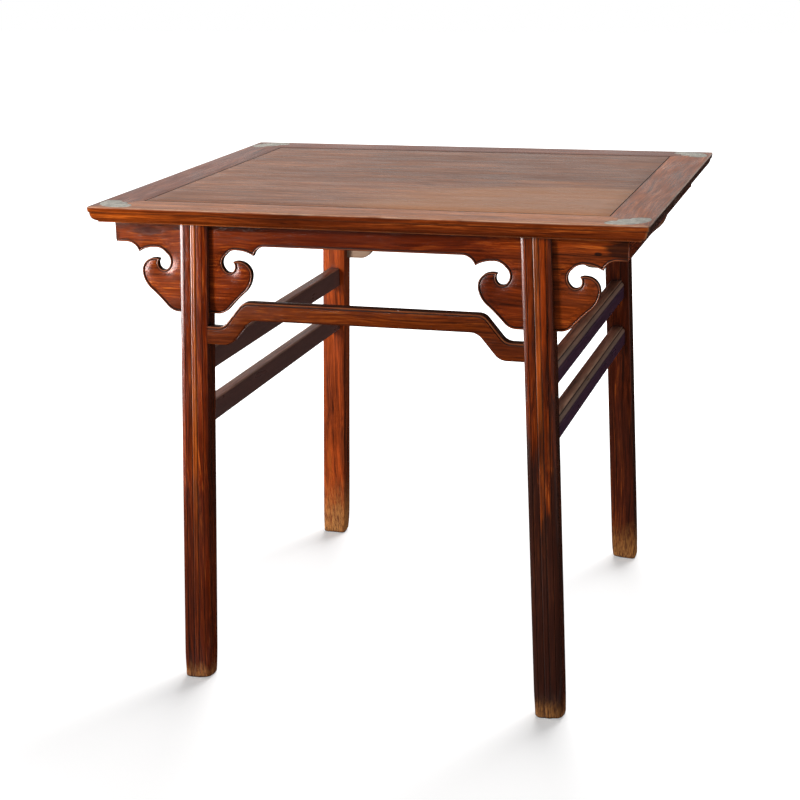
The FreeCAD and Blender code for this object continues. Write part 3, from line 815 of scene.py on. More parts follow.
def edge_section(top):
    """Points round a frame member, in from the outer edge and up from the
    underside: round-over, band, quirk, two curves, foot and panel groove."""
    thick = TOP_Z - UNDERSIDE
    shoulder = thick - top.round_over
    section = [(inset * MM, thick) for inset in (60, 45, 30, 15, 6)]
    section += quarter((0, thick), (1, 0), (0, -1), top.round_over, 6)
    section += arc((0, shoulder), (0.3 * MM, (shoulder + BAND) / 2), (1.2 * MM, BAND), 5)
    quirk, waist, foot = (3.4 * MM, BAND), (6 * MM, 8 * MM), (14.5 * MM, 2 * MM)
    section += [(1.2 * MM, BAND), quirk]
    section += arc(quirk, (4.0 * MM, 13.25 * MM), waist, 6)[1:]
    section += arc(waist, (9.65 * MM, 4.4 * MM), foot, 7)
    floor, ceiling, deep = 14 * MM, 21.2 * MM, FRAME_WIDTH - 10 * MM
    section += [foot, (foot[0], 0), (45 * MM, 0), (FRAME_WIDTH - MM, 0), (FRAME_WIDTH, MM),
                (FRAME_WIDTH, floor), (deep, floor), (deep, ceiling), (FRAME_WIDTH, ceiling)]
    arris = top.arris
    return section + [(FRAME_WIDTH, thick - arris), (FRAME_WIDTH - 0.3 * arris, thick - 0.3 * arris),
                      (FRAME_WIDTH - arris, thick)]


def frame_rings(top, half_run, half_across, lane):
    """Rings of a member that runs along its first axis, mitred at both ends:
    points are (along, across, height) with the outer edge at -half_across."""
    inner = half_run - FRAME_WIDTH
    near = [place * MM for place in (0, 1, 2.5, 4.5, 8, 14, 24, 38, 54)]
    runs = [("end", place) for place in near]
    half, spacing = inner - 10 * MM, 20 * MM
    count = round(2 * half / spacing)
    runs += [("mid", -half + 2 * half * i / count) for i in range(count + 1)]
    runs += [("far", place) for place in near[::-1]]
    rings = []
    for kind, place in runs:
        ring = []
        for inset, height in edge_section(top):
            if kind == "mid":
                along, corner = place, 0
            else:
                share = 0.98 * place / near[-1]
                mitre = half_run - inset
                straight = inner - 2 * MM
                along = (mitre + (straight - mitre) * share) * (-1 if kind == "end" else 1)
                corner = top.corner_wear * math.exp(-place / (2.2 * MM))
            outer = math.exp(-inset / (3 * MM))
            crown = outer * max(0.0, (height - 20 * MM) / (8 * MM))
            rubbed = top.edge_wear * max(0.0, noise.noise(Vector((along * 11, lane, 0.7))) + 0.25)
            rubbed += 0.6 * top.edge_wear * max(0.0, noise.noise(Vector((along * 60, lane, 9.1))) - 0.1)
            inset += crown * rubbed * 0.7 + corner * outer
            height -= crown * rubbed * 0.6
            if kind != "mid":
                along = math.copysign(abs(along) - corner * outer, along)
            ring.append((along, -half_across + inset, UNDERSIDE + height))
        rings.append(ring)
    return rings


INLAY_REACH = 75 * MM
# One half of a corner plate, as shares of its reach along a wing and across.
INLAY_TEMPLATE = (
    (0.267, 0.267), (0.347, 0.180), (0.480, 0.120), (0.693, 0.073), (0.893, 0.100), (0.987, 0.240),
    (0.933, 0.427), (0.867, 0.517), (0.760, 0.513), (0.773, 0.620), (0.707, 0.707),
)


def plate_outline(grown):
    """The corner plate's outline at the front right corner."""
    half = [(p * INLAY_REACH, q * INLAY_REACH) for p, q in INLAY_TEMPLATE]
    outline = half + [(q, p) for p, q in half[-2::-1]]
    points = []
    for i in range(0, len(outline) - 2, 2):
        points += arc(*outline[i:i + 3], 7)
    middle = 0.56 * INLAY_REACH
    growth = 1 + grown / (35 * MM)
    return [(HALF_LENGTH - middle - (p - middle) * growth, middle + (q - middle) * growth - HALF_DEPTH)
            for p, q in points]


def corner_plate(name, grown, low, high):
    """A plate of the corner inlay's outline between two heights."""
    return swept(name, [[(x, y, z) for x, y in plate_outline(grown)] for z in (low, high)])


def bevel_top(piece):
    """Take the sharp edge off a plate's upper face."""
    take(piece)
    bpy.ops.object.mode_set(mode="EDIT")
    bpy.ops.mesh.select_mode(type="FACE")
    bpy.ops.mesh.select_all(action="DESELECT")
    mesh = bmesh.from_edit_mesh(piece.data)
    for face in mesh.faces:
        face.select = face.normal.z > 0.9
    bmesh.update_edit_mesh(piece.data)
    bpy.ops.mesh.bevel(offset=0.35 * MM, segments=2, affect="EDGES")
    tidy_mesh()
    bpy.ops.mesh.select_mode(type="VERT")
    rest()


class TABLE_OT_make_top_frame(Operator):
    """Shape the mitred frame of the top and let the corner plates into it"""

    bl_idname = "table.make_top_frame"
    bl_label = "Make Top Frame"

    def execute(self, context):
        top = context.scene.table_top
        section = edge_section(top)
        shoulder = 0.7 * MM
        # The sunk mark carries painted shade into the quirk; the crest mark carries a pale tone that is
        # partly painted highlight.
        lines = {"sunk": near(section, [(2.6 * MM, BAND)], 1.2 * MM),
                 "crest": near(section, [(shoulder, TOP_Z - UNDERSIDE - shoulder)], 1.1 * MM)}
        front = swept("front_frame_member", frame_rings(top, HALF_LENGTH, HALF_DEPTH, 2.0), **lines)
        side = [[(-y, x, z) for x, y, z in ring] for ring in frame_rings(top, HALF_DEPTH, HALF_LENGTH, 6.0)]
        right = swept("right_frame_member", side, **lines)
        tool = corner_plate("plate_tool", 0.25 * MM, TOP_Z - 1.6 * MM, TOP_Z + 3 * MM)
        tools = [tool, mirrored_copy(tool, "plate_tool_left", x=-1)]
        for cutter in tools:
            cut_away(front, cutter)
        tools.append(mirrored_copy(tool, "plate_tool_back", y=-1))
        for cutter in (tools[0], tools[2]):
            cut_away(right, cutter)
        for cutter in tools:
            put_away(cutter)
        back = mirrored_copy(front, "back_frame_member", y=-1)
        left = mirrored_copy(right, "left_frame_member", x=-1)
        for where, piece in (("front", front), ("back", back), ("left", left), ("right", right)):
            fit(piece, "top_frame_" + where, frame_wood(where))
        plate = corner_plate("front_right_plate", 0, TOP_Z - 1.5 * MM, TOP_Z - 0.1 * MM)
        bevel_top(plate)
        for corner, piece in four_corners(plate, "plate").items():
            fit(piece, "corner_inlay_" + corner, weathered_metal())
        return {"FINISHED"}


# ------------------------------------------------------------------------ panel
def board_rings(top):
    """Rings of the front board of the panel, tongued on three sides."""
    low, tongue, high = TOP_Z - 14 * MM, TOP_Z - 7 * MM, TOP_Z - 0.1 * MM
    tongue_reach = 9 * MM
    face_x = HALF_LENGTH - FRAME_WIDTH - top.groove
    face_y = HALF_DEPTH - FRAME_WIDTH - top.groove
    arris = top.arris
    lanes, count = 9, 30
    section = [(-face_y - tongue_reach, low), (-face_y - tongue_reach, tongue), (-face_y, tongue),
               (-face_y, high - arris), (-face_y + 0.3 * arris, high - 0.3 * arris), (-face_y + arris, high)]
    section += [(-face_y + arris + (face_y - 2 * arris) * i / lanes, high) for i in range(1, lanes)]
    section += [(-0.35 * MM, high), (-0.05 * MM, high - 0.5 * MM), (-0.05 * MM, low)]
    section += [(-face_y + face_y * (1 - i / lanes), low) for i in range(1, lanes)]
    middle = []
    for i in range(count + 1):
        x = (-face_x + arris) + 2 * (face_x - arris) * i / count
        middle.append([(x, y, z - abs(waver(x + y, 9, 0.12 * MM)) * (z > tongue + MM)) for y, z in section])
    ends = [(face_x + tongue_reach, tongue), (face_x + 0.01 * MM, tongue),
            (face_x, high - arris), (face_x - 0.3 * arris, high - 0.3 * arris)]
    near, far = ([[(side * x, y, min(z, ceiling)) for y, z in section] for x, ceiling in ends]
                 for side in (-1, 1))
    return near + middle + far[::-1]


class TABLE_OT_make_panel(Operator):
    """Shape the two boards of the floating panel and finish its battens"""

    bl_idname = "table.make_panel"
    bl_label = "Make Panel"

    def execute(self, context):
        front = swept("front_board", board_rings(context.scene.table_top))
        back = mirrored_copy(front, "back_board", y=-1)
        fit(front, "panel_board_front", board_wood("front"))
        fit(back, "panel_board_back", board_wood("back"))
        for node in ("panel_batten_1", "panel_batten_2", "panel_batten_3"):
            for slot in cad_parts[node].material_slots:
                slot.material = hidden_wood()
        return {"FINISHED"}


# -------------------------------------------------------------------- materials
class Bench:
    """Adds nodes to one node tree, each to the right of the last."""

    def __init__(self, tree):
        self.tree = tree
        self.column = 0

    def add(self, kind, inputs=None, **settings):
        """One node.  Each input is a socket to link or a value to set."""
        node = self.tree.nodes.new(kind)
        node.location = (180 * (self.column % 12), -240 * (self.column // 12))
        self.column += 1
        for name, value in settings.items():
            setattr(node, name, value)
        for name, value in (inputs or {}).items():
            socket = node.inputs[name]
            if isinstance(value, bpy.types.NodeSocket):
                self.tree.links.new(value, socket)
            elif socket.type == "RGBA":
                socket.default_value = (*tuple(value)[:3], 1.0)
            else:
                socket.default_value = value
        return node

    def sum(self, operation, first, second=0.0, third=0.0):
        node = self.add("ShaderNodeMath", {0: first, 1: second, 2: third}, operation=operation)
        return node.outputs[0]

    def times(self, first, second):
        return self.sum("MULTIPLY", first, second)

    def plus(self, first, second):
        return self.sum("ADD", first, second)

    def minus(self, first, second):
        return self.sum("SUBTRACT", first, second)

    def size(self, value):
        return self.sum("ABSOLUTE", value)

    def shaken(self, value, noise, amount):
        """A value made uneven by a noise whose middle is 0.5."""
        return self.plus(value, self.times(self.minus(noise, 0.5), amount))

    def moved(self, operation, first, second):
        """A sum on two vectors."""
        node = self.add("ShaderNodeVectorMath", {0: first, 1: second}, operation=operation)
        return node.outputs["Vector"]

    def far(self, vector):
        """Length of a vector."""
        return self.add("ShaderNodeVectorMath", {0: vector}, operation="LENGTH").outputs["Value"]

    def span(self, value, low, high, out_low=0.0, out_high=1.0):
        """Carry a value smoothly from one range to another."""
        node = self.add("ShaderNodeMapRange", {"Value": value, "From Min": low, "From Max": high,
                                               "To Min": out_low, "To Max": out_high},
                        interpolation_type="SMOOTHSTEP")
        return node.outputs["Result"]

    def blend(self, share, first, second, way="MIX"):
        node = self.add("ShaderNodeMix", {0: share, 6: first, 7: second}, data_type="RGBA", blend_type=way)
        return node.outputs[2]

    def mottle(self, vector, stretch, detail=3.0, rough=0.5, warp=0.0):
        """Noise stretched along the grain.  stretch gives its scale on each axis."""
        placed = self.add("ShaderNodeMapping", {"Vector": vector, "Scale": stretch}).outputs[0]
        node = self.add("ShaderNodeTexNoise", {"Vector": placed, "Scale": 1.0, "Detail": detail,
                                               "Roughness": rough, "Distortion": warp})
        return node.outputs["Fac"]

    def part(self, vector, axis):
        """One of the three numbers of a vector."""
        return self.add("ShaderNodeSeparateXYZ", {0: vector}).outputs[axis]

    def surface(self, shader):
        self.add("ShaderNodeOutputMaterial", {"Surface": shader.outputs[0]})


def new_material(name):
    """An empty material and the bench to fill it."""
    material = bpy.data.materials.new(name)
    material.use_nodes = True
    material.node_tree.nodes.clear()
    return material, Bench(material.node_tree)


def new_group(name, inputs, outputs):
    """A node group with named inputs and outputs, and the bench to fill it."""
    group = bpy.data.node_groups.new(name, "ShaderNodeTree")
    for label, kind, default in inputs:
        made = group.interface.new_socket(name=label, in_out="INPUT", socket_type="NodeSocket" + kind)
        if default is not None:
            made.default_value = default
    for label, kind in outputs:
        group.interface.new_socket(name=label, in_out="OUTPUT", socket_type="NodeSocket" + kind)
    bench = Bench(group)
    return group, bench, bench.add("NodeGroupInput").outputs


def once(maker):
    """Keep each thing that a maker makes, so that like pieces share it."""
    kept = {}

    def kept_maker(*given):
        if given not in kept:
            kept[given] = maker(*given)
        return kept[given]

    return kept_maker


@once
def grain_group():
    """Figured hardwood: broad bands, fine streaks, dark veins and pores, all
    running along the first axis of the vector."""
    group, bench, given = new_group(
        "Figured Wood",
        [("Vector", "Vector", None), ("Deep", "Color", None), ("Body", "Color", None),
         ("Streak", "Color", None), ("Streaks", "Float", 0.5), ("Veins", "Float", 0.5),
         ("Figure", "Float", 0.5)],
        [("Color", "Color"), ("Height", "Float"), ("Dark", "Float")])
    vector = given["Vector"]
    drift = bench.add("ShaderNodeTexNoise", {"Vector": vector, "Scale": 3.2, "Detail": 2.0})
    shift = bench.moved("SUBTRACT", drift.outputs["Color"], (0.5, 0.5, 0.5))
    wavy = bench.moved("ADD", vector, bench.moved("MULTIPLY", shift, (0.0, 0.030, 0.030)))
    broad = bench.mottle(wavy, (1.6, 42, 42), 4.0, 0.55, 0.4)
    bands = bench.mottle(wavy, (3.5, 135, 135), 5.0, 0.6, 0.3)
    fine = bench.mottle(wavy, (9, 340, 340), 5.0, 0.68)
    fibre = bench.mottle(wavy, (34, 1500, 1500), 3.0, 0.6)
    pores = bench.mottle(vector, (75, 2300, 2300), 2.0, 0.5)
    patch = bench.mottle(vector, (3.0, 9, 9), 3.0, 0.5)
    base = bench.span(bench.plus(bench.times(broad, 0.65), bench.times(bands, 0.45)), 0.40, 0.70)
    floor = bench.minus(0.72, bench.times(given["Figure"], 0.5))
    base = bench.sum("MULTIPLY_ADD", base, given["Figure"], floor)
    colour_now = bench.blend(base, given["Deep"], given["Body"])
    bright = bench.times(bench.span(fine, 0.50, 0.68), bench.span(broad, 0.36, 0.62))
    bright = bench.times(bench.times(bright, given["Streaks"]), bench.span(patch, 0.3, 0.65, 0.4, 1.2))
    colour_now = bench.blend(bright, colour_now, given["Streak"])
    dark = bench.times(bench.span(bands, 0.44, 0.33), bench.span(fine, 0.62, 0.45))
    dark = bench.times(dark, given["Veins"])
    colour_now = bench.blend(dark, colour_now, bench.blend(0.82, colour_now, (0.006, 0.003, 0.002)))
    pore = bench.span(pores, 0.40, 0.30)
    shade = bench.times(bench.span(fibre, 0.3, 0.7, 0.74, 1.22), bench.span(pore, 0.0, 1.0, 1.0, 0.62))
    shade = bench.times(shade, bench.span(fine, 0.38, 0.62, 0.70, 1.28))
    shade = bench.times(shade, bench.span(patch, 0.30, 0.70, 0.84, 1.14))
    tone = bench.add("ShaderNodeCombineColor", {0: shade, 1: shade, 2: shade}).outputs[0]
    height = bench.plus(bench.times(fibre, 0.5), bench.times(fine, 0.35))
    bench.add("NodeGroupOutput", {
        "Color": bench.blend(1.0, colour_now, tone, "MULTIPLY"),
        "Height": bench.minus(height, bench.times(pore, 0.6)), "Dark": dark})
    return group


@once
def wear_group():
    """Masks of rubbed arrises and of the darkening in corners and where parts meet, which is painted shade as
    well as settled dirt.
    """
    group, bench, given = new_group(
        "Wear Dirt And Corner Shade",
        [("Vector", "Vector", None), ("Arris", "Float", 0.0022), ("Corner", "Float", 0.012),
         ("Unevenness", "Float", 0.5)],
        [("Rubbed", "Float"), ("Dirt And Corner Shade", "Float")])
    inside = bench.add("ShaderNodeAmbientOcclusion", {"Distance": given["Arris"]},
                       inside=True, only_local=True, samples=6).outputs["AO"]
    # Occlusion round each point: corners and meeting places get painted shade as well as dirt.
    around = bench.add("ShaderNodeAmbientOcclusion", {"Distance": given["Corner"]}, samples=6).outputs["AO"]
    patchy = bench.span(bench.mottle(given["Vector"], (26, 60, 60), 4.0, 0.6), 0.35, 0.62)
    patchy = bench.sum("MULTIPLY_ADD", patchy, given["Unevenness"], bench.minus(1.0, given["Unevenness"]))
    bench.add("NodeGroupOutput", {"Rubbed": bench.times(bench.span(inside, 0.80, 0.35), patchy),
                                  "Dirt And Corner Shade": bench.span(around, 0.88, 0.30)})
    return group


GRAIN = {"X": (0.0, 0.0, 0.0), "Y": (0.0, 0.0, math.radians(-90)), "Z": (0.0, math.radians(90), 0.0)}
# Raw wood that was never polished, from dark to light.
RAW = ((0.110, 0.045, 0.024), (0.300, 0.150, 0.080))
PALE_RAW = ((0.320, 0.180, 0.105), (0.720, 0.520, 0.380))


class Finish:
    """One wood material in the making: its grain, then stains laid over it."""

    def __init__(self, name, grain, place, body, streak, streaks=0.6, veins=0.6, figure=0.7,
                 gloss=1.0, shine=0.3, rubbed=0.5, arris=0.0022, deep=None):
        self.tones = bpy.context.scene.table_finish
        self.material, self.bench = new_material(name)
        self.place = self.bench.add("ShaderNodeTexCoord").outputs["Object"]
        self.along = self.bench.add("ShaderNodeMapping", {
            "Vector": self.place, "Rotation": GRAIN[grain], "Location": place}).outputs[0]
        figured = self.figured(deep or self.tones.deep, body, streak, streaks, veins, figure)
        self.colour, self.height = figured["Color"], figured["Height"]
        self.wear = self.bench.add("ShaderNodeGroup", {"Vector": self.along, "Arris": arris},
                                   node_tree=wear_group()).outputs
        self.streak, self.gloss, self.shine, self.rubbed = streak, gloss, shine, rubbed
        self.rough = None

    def figured(self, deep, body, streak, streaks, veins, figure):
        """Outputs of the figured wood in some tones and strengths."""
        return self.bench.add("ShaderNodeGroup", {
            "Vector": self.along, "Deep": deep, "Body": body, "Streak": streak, "Streaks": streaks,
            "Veins": veins, "Figure": figure}, node_tree=grain_group()).outputs

    def axis(self, which):
        return self.bench.part(self.place, which)

    def facing(self, which):
        """How far the surface turns towards an axis, from -1 to 1."""
        return self.bench.part(self.bench.add("ShaderNodeNewGeometry").outputs["True Normal"], which)

    def stain(self, share, amount, tone):
        """Lay a colour over the wood where share is high."""
        self.colour = self.bench.blend(self.bench.times(share, amount), self.colour, tone)

    def tint(self, share, factors):
        """Multiply the colour where share is high."""
        self.colour = self.bench.blend(share, self.colour, factors, "MULTIPLY")

    def lines(self, pale, amount, dark=0.85, share=None):
        """Dark wax and painted shade in the sunk lines, and a pale tone, rubbed wear
        and painted highlight, on the crests where the share, if there is one, is not 0."""
        bench = self.bench
        uneven = bench.span(bench.mottle(self.along, (14, 60, 60), 4.0, 0.6), 0.3, 0.62, 0.25, 1.0)
        crest = bench.add("ShaderNodeAttribute", attribute_name="crest").outputs["Fac"]
        sunk = bench.add("ShaderNodeAttribute", attribute_name="sunk").outputs["Fac"]
        if share is not None:
            crest = bench.times(crest, share)
        # Pale crest tone: rubbed wear and painted highlight.
        self.stain(bench.times(crest, uneven), amount, pale)
        # Sunk lines: painted shade and dark wax.
        self.stain(sunk, dark, self.tones.stain)
        self.rough = bench.times(sunk, 0.3)

    def panel_line(self):
        """Darken the line between the frame and the panel, not quite evenly."""
        bench = self.bench
        uneven = bench.mottle(self.place, (30, 30, 30), 3.0)
        out_x, out_y = (bench.minus(bench.size(self.axis(which)), half - FRAME_WIDTH - 0.5 * MM)
                        for which, half in (("X", HALF_LENGTH), ("Y", HALF_DEPTH)))
        # The boards have shrunk across their grain, so the line is wider at the front and back.
        away = bench.size(bench.sum("MAXIMUM", out_x, bench.times(out_y, 0.55)))
        away = bench.shaken(away, uneven, 1.6 * MM)
        self.stain(bench.span(away, 1.7 * MM, 0.7 * MM), 0.92, self.tones.stain)

    def raw_inside(self, which, tones):
        """Leave the inner face of a front or a back piece raw.  Returns the
        share of the surface that is raw."""
        bench = self.bench
        inner = bench.span(bench.times(self.facing("Y"), 1.0 if which == "front" else -1.0), 0.6, 0.9)
        self.stain(inner, 0.85, bench.blend(bench.mottle(self.along, (5, 120, 120), 4.0, 0.6), *tones))
        return inner

    def spot(self, centre, size, ragged=0.35, scale=60.0):
        """Share of an oval patch with a ragged edge, 1 at its middle."""
        bench = self.bench
        away = bench.moved("SUBTRACT", self.place, centre)
        away = bench.far(bench.moved("MULTIPLY", away, tuple(1 / s for s in size)))
        rough = bench.mottle(self.along, (scale * 0.3, scale * 2, scale * 2), 3.0)
        return bench.span(bench.shaken(away, rough, ragged * 4), 1.0, 0.55)

    def finished(self):
        """Rub the arrises, darken the corners with painted shade and dirt, wax the wood and give its
        material.
        """
        bench, stain = self.bench, self.tones.stain
        worn = bench.times(self.wear["Rubbed"], self.rubbed)
        colour_now = bench.blend(worn, self.colour, bench.blend(0.5, self.colour, self.streak))
        # Painted shade and dirt: darken towards the stain tone where the occlusion is high.
        dirt_and_shade = bench.times(self.wear["Dirt And Corner Shade"], 0.85)
        colour_now = bench.blend(dirt_and_shade, colour_now, bench.blend(0.85, colour_now, stain))
        gloss = self.tones.gloss * self.gloss
        rough = bench.span(bench.mottle(self.along, (9, 38, 38), 3.0), 0.25, 0.75, gloss * 0.78, gloss * 1.25)
        rough = bench.plus(rough, bench.times(dirt_and_shade, 0.22))
        if self.rough is not None:
            rough = bench.plus(rough, self.rough)
        wave = bench.mottle(self.along, (7, 26, 26), 2.0)
        tall = bench.plus(bench.times(self.height, 0.16), bench.times(wave, 0.35))
        bump = bench.add("ShaderNodeBump", {"Height": tall, "Strength": 0.5, "Distance": 0.9 * MM})
        bench.surface(bench.add("ShaderNodeBsdfPrincipled", {
            "Base Color": colour_now, "Roughness": rough, "Normal": bump.outputs[0],
            "Specular IOR Level": self.shine}))
        return self.material


# What the years have done to each leg: its main colour, where its grain lies,
# the heights between which a dark stain fades in, how strong the stain is, and
# the height and strength of the bare fibre at the foot.
LEG_LOOKS = {
    "front_left": ((0.170, 0.018, 0.001), (0.3, 0.02, 0.4), (0.45, 0.15), 0.50, 0.022, 0.50),
    "front_right": ((0.180, 0.024, 0.002), (1.7, 0.13, 0.9), (0.66, 0.42), 0.90, 0.026, 0.60),
    "back_left": ((0.560, 0.085, 0.011), (3.1, 0.31, 1.3), (0.40, 0.20), 0.35, 0.085, 0.95),
    "back_right": ((0.130, 0.020, 0.006), (4.2, 0.47, 2.2), (0.50, 0.20), 0.35, 0.056, 0.92),
}


@once
def leg_wood(corner):
    """Legs: grain up the leg, darkened low down, painted shade on the right-hand face, with bare fibres at
    the foot.
    """
    tones = bpy.context.scene.table_finish
    body, place, fade, stained, bare_height, bareness = LEG_LOOKS[corner]
    wood = Finish("Leg Wood " + corner.replace("_", " ").title(), "Z", place, body, tones.streak,
                  streaks=0.85, veins=0.75, figure=0.9, shine=0.085, rubbed=0.35)
    bench = wood.bench
    height = wood.axis("Z")
    # Painted shade: the right-hand face, turned from the key light, is darkened; less so low on the front
    # legs, more on the back right leg.
    painted_shade_side = bench.span(wood.facing("X"), 0.5, 0.9)
    low_shade = 0.25 if corner.startswith("front") else 0.65
    high_shade = 0.88 if corner == "back_right" else 0.65
    wood.stain(painted_shade_side, bench.span(height, 0.05, 0.45, low_shade, high_shade), (0.030, 0.010, 0.005))
    # Pale crest tone, partly painted highlight, fading out below mid-height.
    wood.lines((0.460, 0.110, 0.012), 0.65 if corner == "front_left" else 0.35, 0.80,
               bench.span(height, 0.10, 0.52))
    if corner == "front_right":
        bright = wood.spot((0.306, -0.385, 0.70), (0.010, 0.05, 0.17), 0.3)
        wood.tint(bench.times(bright, 0.6), (2.3, 2.2, 1.8))
    blotch = bench.mottle(wood.along, (4.5, 48, 48), 5.0, 0.62)
    stained = bench.times(bench.span(painted_shade_side, 0.0, 1.0, 1.0, 0.6), stained)
    wood.stain(bench.span(bench.shaken(height, blotch, 1.3), *fade), stained, (0.020, 0.008, 0.006))
    fibres = bench.mottle(wood.along, (60, 520, 520), 6.0, 0.75)
    patches = bench.mottle(wood.along, (30, 55, 55), 4.0, 0.6)
    spread = bench.shaken(bench.shaken(height, fibres, 0.014), patches, 0.050)
    bare = bench.span(spread, bare_height * 1.7, -0.2 * bare_height)
    wood.stain(bare, bareness, bench.blend(bench.span(fibres, 0.42, 0.60), tones.bare, (0.120, 0.040, 0.012)))
    nicks = bench.plus(bench.mottle(wood.along, (150, 420, 420), 4.0, 0.6), bench.times(height, 14.0))
    wood.stain(bench.span(nicks, 0.47, 0.41), 0.85, tones.stain)
    wood.rough = bench.plus(wood.rough, bench.times(bare, 0.28))
    return wood.finished()


@once
def apron_wood(which):
    """Aprons: grain along the board, sawn edges near-black with painted shade and dirt, painted light at the
    right end, and old stains.
    """
    tones = bpy.context.scene.table_finish
    wood = Finish("Apron Wood " + which.title(), "Y" if which == "side" else "X",
                  (0.7 if which == "front" else 2.9, 0.11, 0.53), tones.body, tones.streak,
                  streaks=0.65, veins=0.8, figure=0.9, shine=0.08, rubbed=0.35)
    bench = wood.bench
    if which != "side":
        from_middle = bench.size(wood.axis("X"))
        wood.stain(bench.span(from_middle, 0.26, 0.12), 0.55, (0.075, 0.007, 0.001))
        wood.tint(bench.times(bench.span(from_middle, 0.27, 0.38), 0.40), (1.7, 2.2, 2.6))
        # Lighter at the right end: painted light that makes up for the shadow of the right leg and the key
        # light's fall-off there.
        wood.tint(bench.span(wood.axis("X"), 0.20, 0.30, 0.0, 0.45), (1.75, 1.9, 1.5))
        # Painted highlight on the bead's crest, and painted shade in the sunk line and along the carved edge.
        wood.lines((0.40, 0.15, 0.07), 0.55, 0.97)
        # Near-black where the surface turns from the front and back: painted shade on the sawn edges, with
        # dirt.
        wood.stain(bench.span(bench.size(wood.facing("Y")), 0.55, 0.15), 0.9, (0.014, 0.006, 0.004))
        inner = wood.raw_inside(which, RAW)
        wood.rough = bench.plus(wood.rough, bench.times(inner, 0.4))
    if which == "front":
        end = wood.spot((0.438, APRON_FRONT, 0.818), (0.040, 0.05, 0.024))
        knot = wood.spot((0.394, APRON_FRONT, 0.806), (0.008, 0.05, 0.004), 0.15)
        other = wood.spot((-0.385, APRON_FRONT, 0.815), (0.030, 0.05, 0.012))
        for share, amount in ((end, 0.85), (knot, 0.9), (other, 0.6)):
            wood.stain(share, amount, tones.stain)
    return wood.finished()


@once
def humpback_wood(which):
    """Humpback stretchers: grain along, with painted shade on the upper side, which the top above shades."""
    wood = Finish("Humpback Wood " + which.title(), "X", (1.3 if which == "front" else 4.9, 0.61, 0.17),
                  (0.125, 0.020, 0.002), (0.26, 0.065, 0.008), streaks=0.4, veins=0.5, shine=0.12)
    wood.lines((0.38, 0.14, 0.05), 0.5, 0.9)
    # Painted shade: faces turned up are darkened as if shaded by the top above.
    wood.stain(wood.bench.span(wood.facing("Z"), 0.45, 0.75), 0.85, (0.012, 0.006, 0.005))
    wood.raw_inside(which, RAW if which == "front" else PALE_RAW)
    return wood.finished()


@once
def rail_wood(which):
    """Side stretchers: dull brown tops, a painted sheen on the leaning bead, and faces darkened with painted
    shade, purple-black with a painted reflection on the right.
    """
    wood = Finish("Rail Wood " + which.title(), "Y", (2.1 if which == "left" else 0.4, 0.27, 0.71),
                  (0.200, 0.074, 0.044), (0.300, 0.130, 0.078), veins=0.9, figure=0.9,
                  shine=0.12, gloss=1.5, rubbed=0.55, deep=(0.080, 0.032, 0.022))
    bench = wood.bench
    rise = wood.facing("Z")
    # Painted sheen: a pale tone on the bead that leans up and out.
    leaning_sheen = bench.times(bench.span(rise, 0.10, 0.30), bench.span(rise, 0.93, 0.80))
    wood.stain(leaning_sheen, 0.42, (0.46, 0.34, 0.26))
    wood.lines((0.60, 0.36, 0.24), 0.8, 0.92)
    # Painted shade on the upright faces; on the right-hand stretchers it is purple-black, a painted
    # reflection as well.
    face = (0.045, 0.018, 0.044) if which == "right" else (0.100, 0.050, 0.044)
    wood.stain(bench.minus(1.0, bench.span(rise, 0.05, 0.35)), 0.9, face)
    return wood.finished()


TOP_DEEP = (0.120, 0.042, 0.022)
# Where each frame member's grain lies, and its main colour.
FRAME_LOOKS = {
    "front": ((0.2, 0.9, 0.3), (0.520, 0.185, 0.070)),
    "back": ((2.2, 0.4, 0.8), (0.225, 0.084, 0.056)),
    "left": ((4.1, 0.2, 1.6), (0.225, 0.084, 0.056)),
    "right": ((6.3, 1.1, 2.4), (0.330, 0.092, 0.030)),
}


@once
def frame_wood(which):
    """Top frame: rubbed flat, richer down the moulded edge, dark in the joints."""
    tones = bpy.context.scene.table_finish
    grain = "X" if which in ("front", "back") else "Y"
    wood = Finish("Frame Wood " + which.title(), grain, *FRAME_LOOKS[which], tones.top_streak, streaks=0.4,
                  veins=0.35, figure=0.5, shine=0.085, gloss=1.3, rubbed=0.9, arris=0.003, deep=TOP_DEEP)
    bench = wood.bench
    rich = ((0.075, 0.010, 0.002), (0.190, 0.030, 0.003), (0.36, 0.090, 0.014))
    # On the right member the moulded edge is dark grey with pale streaks: painted shade and painted glints on
    # the edge turned from the light.
    if which == "right":
        rich = ((0.030, 0.012, 0.008), (0.075, 0.028, 0.018), (0.38, 0.26, 0.20))
    edge = wood.figured(*rich, streaks=0.6, veins=0.6, figure=0.9)["Color"]
    edge = bench.blend(bench.span(wood.axis("X"), -0.12, -0.40), edge, (1.7, 1.8, 1.3), "MULTIPLY")
    wood.colour = bench.blend(bench.span(wood.facing("Z"), 0.55, 0.9), edge, wood.colour)
    past_x, past_y = (bench.minus(bench.size(wood.axis(axis)), half)
                      for axis, half in (("X", HALF_LENGTH), ("Y", HALF_DEPTH)))
    across = bench.size(bench.minus(past_x, past_y))
    wood.stain(bench.span(across, 1.1 * MM, 0.3 * MM), 0.75, tones.stain)
    wood.lines((0.72, 0.46, 0.32), 0.85, 0.85)
    wood.panel_line()
    return wood.finished()


